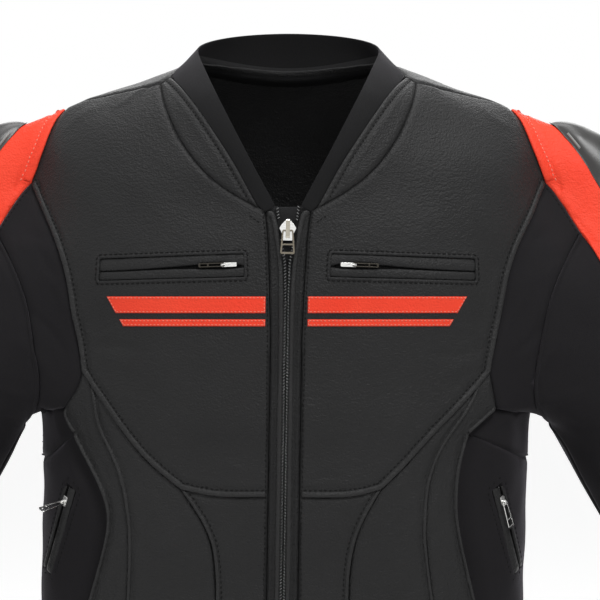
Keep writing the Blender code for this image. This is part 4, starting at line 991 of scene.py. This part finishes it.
# each strip's edge and slit, as x and z in mm from the zip's line, and its profile
CHEST_LIPS = (
    (((158.2, -140.6), (35.0, -136.2)),
     ((158.2, -151.0), (136.8, -150.2), (115.0, -148.9), (94.0, -147.3), (73.3, -145.4), (56.7, -144.0),
      (46.7, -144.1), (35.0, -146.6)), LIP),
    (((158.2, -158.9), (35.0, -155.8)),
     ((158.2, -151.5), (136.8, -150.9), (115.0, -149.9), (94.0, -149.0), (73.3, -148.9), (56.7, -149.2),
      (46.7, -148.9), (35.0, -147.4)), LIP),
)
CHEST_TAPE = ((((157, -148.0), (37, -142.0)), ((157, -154.0), (37, -151.5)),
               ((0, -2.5), (0.5, -2.3), (1, -2.5))),)
CHEST_STEPS, CHEST_TAPE_STEPS = 84, 40
WINDOW_CORNER, FRAME_STEP = 4.5, 1.6        # mm
FRAME_STITCH, FRAME_STITCH_IN = STITCH * 1.2, -0.1
CHEST_COIL, CHEST_COIL_LENGTH = 2.0, 118    # mm from one tooth to the next, and in all
CHEST_COIL_FROM, CHEST_COIL_GAP = (155, -151.2, -146.6), (41, 60)   # x, z, z at its end; x under the slider
TOOTH_SLANT, CHEST_TOOTH, CHEST_TOOTH_IN = 0.5, (1.2, 0.45, 0.4), 2.0 * MM
for side, suffix in SIDES:
    tree = panel_trees["chest" + suffix]
    window = WINDOWS["chest"][0]
    bm = bmesh.new()
    ring(bm, round_rows(window, WINDOW_CORNER, FRAME_STEP, side, tree), CHEST_FRAME, tree)
    new_piece("chest_pocket_frame" + suffix, bm, black_leather, "black_leather", thickness=0.8 * MM,
              flat=(0.010, 0.300), area=0.0024)
    stitch_row(stitching["black"], round_rows(window, WINDOW_CORNER, STITCH_PITCH / MM, side, tree),
               FRAME_STITCH_IN, tree, FRAME_STITCH)
    sewn_strips(CHEST_LIPS, CHEST_STEPS, side, tree, "chest_pocket_lips" + suffix, black_leather,
                "black_leather", "chest_pocket_welt" + suffix, thickness=0.9 * MM, flat=(0.030, 0.124))
    # the tape and the coil take the near-black cloth, painted shade for the slit's depth
    sewn_strips(CHEST_TAPE, CHEST_TAPE_STEPS, side, tree, "chest_pocket_tape" + suffix, slit_shade_cloth,
                "zip_tape", "chest_pocket_zip" + suffix, thickness=STRIP_SKIN, flat=(0.010, 0.121),
                area=0.0008)
    bm = bmesh.new()
    from_x, from_z, to_z = CHEST_COIL_FROM
    for k in range(int(CHEST_COIL_LENGTH / CHEST_COIL)):
        x, share = from_x - k * CHEST_COIL, k * CHEST_COIL / CHEST_COIL_LENGTH
        if not CHEST_COIL_GAP[0] < x < CHEST_COIL_GAP[1]:
            ground, normal = on_front(tree, x, from_z * (1 - share) + to_z * share, side)
            tooth(bm, ground - normal * CHEST_TOOTH_IN, Vector((side, 0, 0)), Vector((0, 0, 1)), normal,
                  TOOTH_SLANT, CHEST_TOOTH)
    new_piece("chest_pocket_coil" + suffix, bm, slit_shade_cloth, "zip_tape")


# ---------------------------------------------------------------- hand pockets
# A slanted slit in the stretch side, with one broad leather lip on its front edge, a narrow piped lip on
# the other and a coil zip between them.

# each strip's edge and slit, as x and z in mm from the zip's line, and its profile: share across, mm up
HAND_LIPS = (
    (((176.0, -334.5), (186.0, -371.0), (196.8, -408.0)), ((181.4, -333.0), (191.0, -368.6), (201.0, -403.4)),
     ((-0.1, -1.2), (0.0, -0.3), (0.15, 0.45), (0.4, 0.8), (0.7, 0.9), (0.9, 0.7), (0.98, 0.1), (1.0, -1.6))),
    (((185.4, -331.4), (194.8, -367.0), (204.0, -401.4)), ((183.4, -332.2), (192.8, -367.8), (202.2, -402.4)),
     ((-0.3, -0.6), (0.0, 0.1), (0.3, 0.7), (0.6, 0.8), (0.9, 0.3), (1.0, -1.4))),
)
HAND_TAPE = ((((178.5, -333.6), (199.5, -404.6)), ((185.0, -331.4), (203.0, -401.6)),
              ((0, -2.4), (0.5, -2.2), (1, -2.4))),)
HAND_COIL_FROM, HAND_COIL_WAY, HAND_TEETH = (182.4, -333.0), (19.2, -70.0), 36
HAND_STEPS, HAND_TAPE_STEPS = 44, 30
HAND_TOOTH, HAND_TOOTH_IN = (1.1, 0.45, 0.4), 1.8 * MM
HAND_CORNER, HAND_STITCH_IN = 2.0, -4.0     # mm, less than 0 is outside the window
for side, suffix in SIDES:
    tree = panel_trees["side" + suffix]
    sewn_strips(HAND_LIPS, HAND_STEPS, side, tree, "hand_pocket_lips" + suffix, black_leather,
                "black_leather", "hand_pocket_welt" + suffix, thickness=0.8 * MM, flat=(0.020, 0.078))
    sewn_strips(HAND_TAPE, HAND_TAPE_STEPS, side, tree, "hand_pocket_tape" + suffix, zip_cloth,
                "zip_tape", "hand_pocket_zip" + suffix, thickness=STRIP_SKIN, flat=(0.010, 0.078))
    bm = bmesh.new()
    (from_x, from_z), (across, up) = HAND_COIL_FROM, HAND_COIL_WAY
    for k in range(HAND_TEETH):
        share = k / (HAND_TEETH - 1)
        ground, normal = on_front(tree, from_x + across * share, from_z + up * share, side)
        way = Vector((across * side, 0, up)).normalized()
        tooth(bm, ground - normal * HAND_TOOTH_IN, way, normal.cross(way), normal, TOOTH_SLANT, HAND_TOOTH)
    new_piece("hand_pocket_coil" + suffix, bm, coil_nylon_painted_glint, "zip_tape")
    stitch_row(stitching["black"], round_rows(WINDOWS["side"][0], HAND_CORNER, STITCH_PITCH / MM, side, tree),
               HAND_STITCH_IN, tree)


# ---------------------------------------------------------------- front zip
# A coil zip with two woven tapes, closed from the slider down and spread above it. A guard of tight black
# weave lies behind it.

SECTION_GAP = 3 * MM        # sections of a tape are further apart than this


def zip_line(node, side):
    """Height, inner edge and front of a tape, from its sections"""
    spots = sorted((v.co.z, v.co.x * side, v.co.y) for v in frame["nodes"][node].data.vertices)
    sections = [[spots[0]]]
    for spot in spots[1:]:
        if spot[0] - sections[-1][-1][0] > SECTION_GAP:
            sections.append([])
        sections[-1].append(spot)
    return tuple(np.array(column) for column in zip(*(
        (sum(s[0] for s in part) / len(part), min(s[1] for s in part), min(s[2] for s in part))
        for part in sections)))


TAPE_SECTION = ((0.5, 1.2), (1.2, 1.0), (2.2, 1.2), (2.8, 2.2), (6.0, 2.3), (11.0, 2.3))    # mm out, mm back
TAPE_STEPS = 100
COIL_PITCH, COIL_START = 2.6 * MM, {1: 0.25, -1: 0.75}      # the two sides' teeth lie between each other
COIL_OUT, COIL_BACK = 1.15 * MM, 0.5 * MM
COIL_SLANT, COIL_TOOTH = -0.55, (1.5, 0.58, 0.6)
SLIDER_COVER = 1 * MM       # teeth this far inside the slider's ends are left out
SLIDER_END, SLIDER_TOP = (corner.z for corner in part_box("front_slider"))
SLIDER_END, SLIDER_TOP = SLIDER_END + SLIDER_COVER, SLIDER_TOP - SLIDER_COVER
for side, suffix in SIDES:
    heights, inner, front = zip_line("zip_tape" + suffix, side)
    top, bottom = heights[-1], heights[0]
    bm = bmesh.new()

    def tape_place(k, out, back):
        z = top + (bottom - top) * k / TAPE_STEPS
        return Vector(((np.interp(z, heights, inner) + out * MM) * side,
                       np.interp(z, heights, front) + back * MM, z))

    laid_grid(bm, TAPE_STEPS, TAPE_SECTION, tape_place)
    new_piece("front_zip_tape" + suffix, bm, zip_cloth, "zip_tape", ("zip_tape" + suffix,),
              thickness=0.6 * MM, flat=(0.012, 0.494))
    bm = bmesh.new()
    for k in range(int((top - bottom) / COIL_PITCH)):
        z = top - (k + COIL_START[side]) * COIL_PITCH
        if not SLIDER_END < z < SLIDER_TOP:
            spot = Vector(((np.interp(z, heights, inner) + COIL_OUT) * side,
                           np.interp(z, heights, front) + COIL_BACK, z))
            tooth(bm, spot, Vector((0, 0, 1)), Vector((side, 0, 0)), Vector((0, -1, 0)),
                  COIL_SLANT, COIL_TOOTH)
    new_piece("front_zip_coil" + suffix, bm, coil_nylon_painted_glint, "zip_tape")


def crease_bends(bm, angle, crease):
    """Edges that bend by more than the angle, in degrees, keep that share of their sharpness"""
    layer = bm.edges.layers.float.new("crease_edge")
    for edge in bm.edges:
        if len(edge.link_faces) == 2 and edge.calc_face_angle() > math.radians(angle):
            edge[layer] = crease


SOFT_ANGLE = 45


def softened(piece, levels, crease):
    """Rounds a piece by subdivision"""
    bm = bmesh_of(piece.data)
    crease_bends(bm, SOFT_ANGLE, crease)
    stored(bm, piece.data)
    add_subdivision(piece, levels)


guard_cloth = woven("guard weave", (0.008, 0.008, 0.0085), (0.016, 0.016, 0.017), pitch=520,
                    roughness=0.7)
bm = merged_copy("zip_guard")
bmesh.ops.join_triangles(bm, faces=bm.faces, angle_face_threshold=0.7, angle_shape_threshold=1.0)
guard = new_piece("front_zip_guard", bm, guard_cloth, "woven_guard", ("zip_guard",), flat=(0.031, 0.492))
softened(guard, levels=2, crease=0.8)


# ---------------------------------------------------------------- neck band
# A doubled band of fine rib knit, sewn to the collar leather and to the yoke. It is soft, so its edge is
# round and it follows the neck.

knit = stretch("collar knit", (0.0075, 0.0075, 0.0078), (0.012, 0.012, 0.0125), rib=330)
bm = merged_copy("collar_band")
bmesh.ops.join_triangles(bm, faces=bm.faces, angle_face_threshold=0.9, angle_shape_threshold=1.2)
band = new_piece("neck_band", bm, knit, "collar_knit", ("collar_band",), flat=(0.030, 0.520))
softened(band, levels=3, crease=0.55)


# ---------------------------------------------------------------- neck tape
# A woven tape, sewn over the seam inside the back of the neck. It reaches from the neck band down behind
# the yoke.

NECK_CENTRE = -20 * MM          # y of the middle of the neck
NECK_TAPE_REACH = 8 * MM        # from the seam up, and from the seam down
# the tape's edge on the band, its middle at the seam and its foot on the yoke: inwards, off the cloth, in mm
NECK_TAPE = (("band", 5.0, 0.7), ("seam", 2.6, 1.5), ("yoke", 0, 3.2))
band_tree = BVHTree.FromObject(band, bpy.context.evaluated_depsgraph_get())
bm = bmesh.new()
for run in chains(seam_runs[("back_yoke", "open")]):
    rows = beside_seam("back_yoke", run, STRIP_STEP)

    def neck_place(k, part, reach, off):
        spot, _, into, normal = rows[k]
        inwards = Vector((-spot.x, NECK_CENTRE - spot.y, 0)).normalized()
        if part == "band":
            above = spot + inwards * reach * MM + Vector((0, 0, NECK_TAPE_REACH))
            return band_tree.find_nearest(above)[0] + inwards * off * MM
        down = into * NECK_TAPE_REACH if part == "yoke" else Vector()
        return spot + inwards * reach * MM + down - normal * off * MM

    laid_grid(bm, len(rows) - 1, NECK_TAPE, neck_place)
new_piece("neck_tape", bm, zip_cloth, "collar_knit", thickness=STRIP_SKIN, flat=(0.019, 0.215))


# ---------------------------------------------------------------- chest stripes
# Two red leather stripes on each side of the chest, the lower one narrower. Their edges are turned under,
# and they are laid on and sewn down all round.

STRIPES = {"stripe_upper": ((17.5, -186), (143, -186), (151, -172), (17.5, -172)),
           "stripe_lower": ((17.5, -197), (136.5, -197), (140, -191), (17.5, -191))}
STRIPE_EDGE = ((0, -0.5), (0.15, 0.35), (0.5, 0.75), (1.2, 0.95), (2.0, 0.85), (3.5, 0.8))  # mm in, mm up
STRIPE_COLUMNS, STRIPE_ROWS = 90, 14
STRIPE_CORNER, STRIPE_STITCH_STEP = 1.0, 3.2        # mm
STRIPE_STITCH, STRIPE_STITCH_IN, STRIPE_STITCH_UP = STITCH * 0.8, 1.3, 1.05
STRIPE_CUT, STRIPE_AREA = (-12, 4), (-14, 1.5)      # mm more than the outer corner's x and than the height


def eased_share(k, count):
    """Shares that are closer together towards both ends"""
    return (1 - math.cos(math.pi * k / count)) / 2


for node, corners in STRIPES.items():
    lower_in, lower_out, upper_out, upper_in = corners
    height = upper_in[1] - lower_in[1]
    for side, suffix in SIDES:
        tree = panel_trees["chest" + suffix]

        def stripe_place(k, up):
            out = eased_share(k, STRIPE_COLUMNS)
            length = (lower_out[0] - lower_in[0]) * (1 - up) + (upper_out[0] - upper_in[0]) * up
            inwards = min(up * height, (1 - up) * height, out * length, (1 - out) * length)
            ground, normal = on_front(tree, lower_in[0] + out * length, lower_in[1] + up * height, side)
            return ground + normal * np.interp(inwards, *zip(*STRIPE_EDGE)) * MM

        bm = bmesh.new()
        laid_grid(bm, STRIPE_COLUMNS, [(eased_share(k, STRIPE_ROWS),) for k in range(STRIPE_ROWS + 1)],
                  stripe_place)
        new_piece(node.replace("stripe", "chest_stripe") + suffix, bm, red_leather, "red_leather",
                  (node + suffix,), thickness=STRIP_SKIN,
                  flat=((lower_out[0] + STRIPE_CUT[0]) * MM, (height + STRIPE_CUT[1]) * MM),
                  area=(lower_out[0] + STRIPE_AREA[0]) * (height + STRIPE_AREA[1]) * MM * MM)
        stitch_row(stitching["red"], round_rows(corners, STRIPE_CORNER, STRIPE_STITCH_STEP, side, tree),
                   STRIPE_STITCH_IN, tree, STRIPE_STITCH, STRIPE_STITCH_UP)


# ---------------------------------------------------------------- shoulder plates
# Moulded caps of satin black plastic over the tops of the sleeves, with a small raised grey bar near the
# inner edge.

def moulded(name, colour, pale, roughness):
    material, tree = new_material(name)
    grain = texture_at(tree, "Noise", scale=700, Detail=3.0)
    cloud = texture_at(tree, "Noise", scale=30, Detail=3.0)
    add_bump(tree, grain.outputs["Fac"], depth=0.0001, strength=0.25)
    colour_by(tree, cloud.outputs["Fac"], colour, pale, {}, reach=(0.35, 0.65))
    vary_roughness(tree, cloud.outputs["Fac"], roughness - 0.04, roughness + 0.06)
    return material


def smoothed(bm, rounds):
    for _ in range(rounds):
        bmesh.ops.smooth_vert(bm, verts=bm.verts, factor=0.5, use_axis_x=True, use_axis_y=True,
                              use_axis_z=True)
    return bm


plate_plastic = moulded("plate plastic", (0.022, 0.021, 0.020), (0.030, 0.029, 0.028), roughness=0.34)
bar_plastic = moulded("bar plastic", (0.20, 0.20, 0.19), (0.26, 0.26, 0.25), roughness=0.4)
PLATE_SMOOTHING, DOME_SMOOTHING = 14, 3
PLATE_DOME = ((0, 0.2), (1.5, 2.2), (5, 4.6), (12, 9.0), (25, 16.5))    # mm from the rim, most mm up
PLATE_UNDER = -0.6          # mm off the shell of its hidden underside
PLATE_RIM = (-0.2, 2.3)     # mm off the shell, between which the rim lies
BAR_ENDS = (0.2390, -0.0315), (0.2500, -0.0455)         # x and z
BAR_SECTION = ((-1.2, -0.4), (-1.0, 0.4), (-0.6, 0.7), (0.6, 0.7), (1.0, 0.4), (1.2, -0.4))     # mm
BAR_STEPS = 16
for side, suffix in SIDES:
    bm = merged_copy("shoulder_plate" + suffix)
    bmesh.ops.join_triangles(bm, faces=bm.faces, angle_face_threshold=0.5, angle_shape_threshold=1.0)
    rise = bm.verts.layers.float.new("rise")
    bm.normal_update()
    for vert in bm.verts:
        ground, normal, _, _ = shell_tree.find_nearest(vert.co)
        vert[rise] = (vert.co - ground).dot(normal) / MM if vert.normal.dot(normal) > 0 else PLATE_UNDER
    crease_bends(bm, angle=55, crease=0.8)
    cap_mesh = subdivided(stored(bm), levels=3, keep_creases=True)
    stored(smoothed(bmesh_of(cap_mesh), PLATE_SMOOTHING), cap_mesh)
    rises = read(cap_mesh.attributes["rise"].data, "value")
    grounds = [shell_tree.find_nearest(vert.co)[:2] for vert in cap_mesh.vertices]
    rim = [ground for (ground, _), up in zip(grounds, rises) if PLATE_RIM[0] < up < PLATE_RIM[1]]
    rim_tree = KDTree(len(rim))
    for k, spot in enumerate(rim):
        rim_tree.insert(spot, k)
    rim_tree.balance()
    for vert, (ground, normal), up in zip(cap_mesh.vertices, grounds, rises):
        most = np.interp(rim_tree.find(ground)[2] / MM, *zip(*PLATE_DOME))
        vert.co = ground + normal * min(up, most) * MM
    plate = new_piece("shoulder_cap" + suffix, smoothed(bmesh_of(cap_mesh), DOME_SMOOTHING), plate_plastic,
                      "moulded_plate", ("shoulder_plate" + suffix,))

    plate_tree = tree_of(plate.data)
    start, end = (Vector((x * side, 0, z)) for x, z in BAR_ENDS)
    along_bar = (end - start).normalized()
    across_bar = Vector((along_bar.z, 0, -along_bar.x))

    def bar_place(k, out, up):
        spot = start.lerp(end, k / BAR_STEPS) + across_bar * out * MM
        ground, normal, _, _ = plate_tree.ray_cast(Vector((spot.x, -1, spot.z)), Vector((0, 1, 0)))
        return ground + normal * (up if 0 < k < BAR_STEPS else BAR_SECTION[0][1]) * MM if ground else spot

    bm = bmesh.new()
    laid_grid(bm, BAR_STEPS, BAR_SECTION, bar_place)
    new_piece("shoulder_bar" + suffix, bm, bar_plastic, "moulded_plate", thickness=0.6 * MM)


# ---------------------------------------------------------------- sliders and pulls
# Cast zinc. The sliders and the hand pockets' pulls are polished and the front pull is bronzed. The chest
# pockets' pulls are dark metal, painted darker still for the shade of the slit they lie in. Their edges are
# rounded by tumbling.

def metal(name, colour, roughness):
    material, tree = new_material(name)
    scratch = texture_at(tree, "Noise", scale=260, stretch=(1, 1, 6), Detail=5.0)
    add_bump(tree, scratch.outputs["Fac"], depth=0.00005, strength=0.3)
    colour_by(tree, scratch.outputs["Fac"], [c * 0.85 for c in colour], colour, {"Metallic": 1})
    vary_roughness(tree, scratch.outputs["Fac"], roughness - 0.05, roughness + 0.1)
    return material


METALS = {"bright_metal": metal("polished metal", (0.86, 0.86, 0.84), roughness=0.16),
          "dark_metal": metal("bronzed metal", (0.21, 0.185, 0.145), roughness=0.26),
          "bridge": metal("worn metal", (0.46, 0.43, 0.36), roughness=0.22),
          # the chest pulls' colour is painted shade, darker than the dark metal they are cast in
          "chest": metal("blackened metal", (0.055, 0.050, 0.042), roughness=0.30)}
BRIDGE_DEPTH = 2.4 * MM     # of the front slider's bridge, which is duller than its wings
EDGE_ROUNDING = 0.22 * MM
for node in sorted(frame["nodes"]):
    if "slider" in node or "pull" in node:
        slot = "dark_metal" if node.startswith(("front_pull", "chest_pocket_pull")) else "bright_metal"
        finish = METALS["chest" if node.startswith("chest_pocket_pull") else slot]
        cast = new_piece(node.replace("slider", "zip_slider").replace("pull", "zip_pull"), merged_copy(node),
                         finish, slot, (node,), body=node if "pull" in node else "jacket")
        cast.data.materials.append(METALS["bridge"])
        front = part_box(node)[0].y
        for polygon in cast.data.polygons:
            polygon.use_smooth = False
            if node == "front_slider" and polygon.center.y < front + BRIDGE_DEPTH:
                polygon.material_index = 1
        rounding = cast.modifiers.new("Rounding", "BEVEL")
        rounding.width, rounding.segments, rounding.limit_method = EDGE_ROUNDING, 2, "ANGLE"
        rounding.harden_normals = True


# ---------------------------------------------------------------- stitching
# Bonded polyester thread, black on black leather and a paler red on red leather, in one row along each
# lapped seam and hem, and round the pockets and the stripes.

def thread(name, colour):
    material, tree = new_material(name)
    twist = texture_at(tree, "Wave", scale=900, turn=(0, 0, 0.8))
    add_bump(tree, twist.outputs["Fac"], depth=0.0001, strength=0.4)
    colour_by(tree, twist.outputs["Fac"], [c * 0.8 for c in colour], colour,
              {"Roughness": 0.6, "Specular IOR Level": 0.12}, reach=(0.2, 0.8))
    return material


for name, colour, slot in (("black", (0.0045, 0.0045, 0.0045), "black_leather"),
                           ("red", (1.0, 0.30, 0.22), "red_leather")):
    new_piece("stitching_" + name, stitching[name], thread(name + " thread", colour), slot)


# ---------------------------------------------------------------- camera, light and floor
# A level view of the chest from 3.5 m with a long lens, large soft lamps, and a pale floor and world that
# the camera sees as white, directly, in metal and through glass.

CAMERA_PLACE, LENS, FILM = (0.010, -3.615, -0.175), 252, 36
camera = add_object("camera", bpy.data.cameras.new("camera"))
camera.data.lens, camera.data.sensor_width = LENS, FILM
camera.location = CAMERA_PLACE
camera.rotation_euler = (math.pi / 2, 0, 0)
camera.data.clip_end = 50
bpy.context.scene.camera = camera

AIM = Vector((0, -0.05, -0.2))
LAMPS = {
    # lamp: place in metres, size in metres, power in watts
    "key": ((0.9, -1.9, 2.4), 1.1, 66),
    "fill": ((-1.9, -1.8, 1.3), 1.8, 15),
    "top": ((0.0, 0.1, 2.4), 1.6, 34),
    "back": ((0.3, 2.4, 1.2), 2.2, 30),
}
for name, (place, size, power) in LAMPS.items():
    lamp = add_object(name, bpy.data.lights.new(name, "AREA"))
    lamp.data.size, lamp.data.energy = size, power
    lamp.location = place
    lamp.rotation_euler = (AIM - lamp.location).to_track_quat("-Z", "Y").to_euler()


def seen_as(tree, unseen, seen, strength):
    """Gives a strength one value for light, and another for what the camera sees"""
    path = tree.nodes.new("ShaderNodeLightPath")
    share = path.outputs["Is Camera Ray"]
    for ray in ("Is Glossy Ray", "Is Transmission Ray"):
        either = tree.nodes.new("ShaderNodeMath")
        either.operation = "MAXIMUM"
        tree.links.new(share, either.inputs[0])
        tree.links.new(path.outputs[ray], either.inputs[1])
        share = either.outputs["Value"]
    level = tree.nodes.new("ShaderNodeMapRange")
    level.inputs["To Min"].default_value, level.inputs["To Max"].default_value = unseen, seen
    tree.links.new(share, level.inputs["Value"])
    tree.links.new(level.outputs["Result"], strength)


WORLD_LIGHT, FLOOR_GLOW = 0.13, 0.75
WHITE = (1, 1, 1, 1)
world = bpy.data.worlds.new("studio")
world.use_nodes = True
bpy.context.scene.world = world
background = world.node_tree.nodes["Background"]
background.inputs["Color"].default_value = WHITE
seen_as(world.node_tree, WORLD_LIGHT, 1, background.inputs["Strength"])

FLOOR_SIZE, FLOOR_GAP = 20, 0.10        # half its width, and how far it lies below the hem
bm = bmesh.new()
bmesh.ops.create_grid(bm, x_segments=1, y_segments=1, size=FLOOR_SIZE,
                      matrix=Matrix.Translation((0, 0, cad_box[0].z - FLOOR_GAP)))
floor = add_object("floor", stored(bm))
white, tree = new_material("white floor")
shader = tree.nodes["Principled BSDF"]
shader.inputs["Base Color"].default_value = (0.82, 0.82, 0.82, 1)
shader.inputs["Roughness"].default_value = 0.9
shader.inputs["Emission Color"].default_value = WHITE
seen_as(tree, 0, FLOOR_GLOW, shader.inputs["Emission Strength"])
floor.data.materials.append(white)

bpy.context.scene.view_settings.view_transform = "Standard"
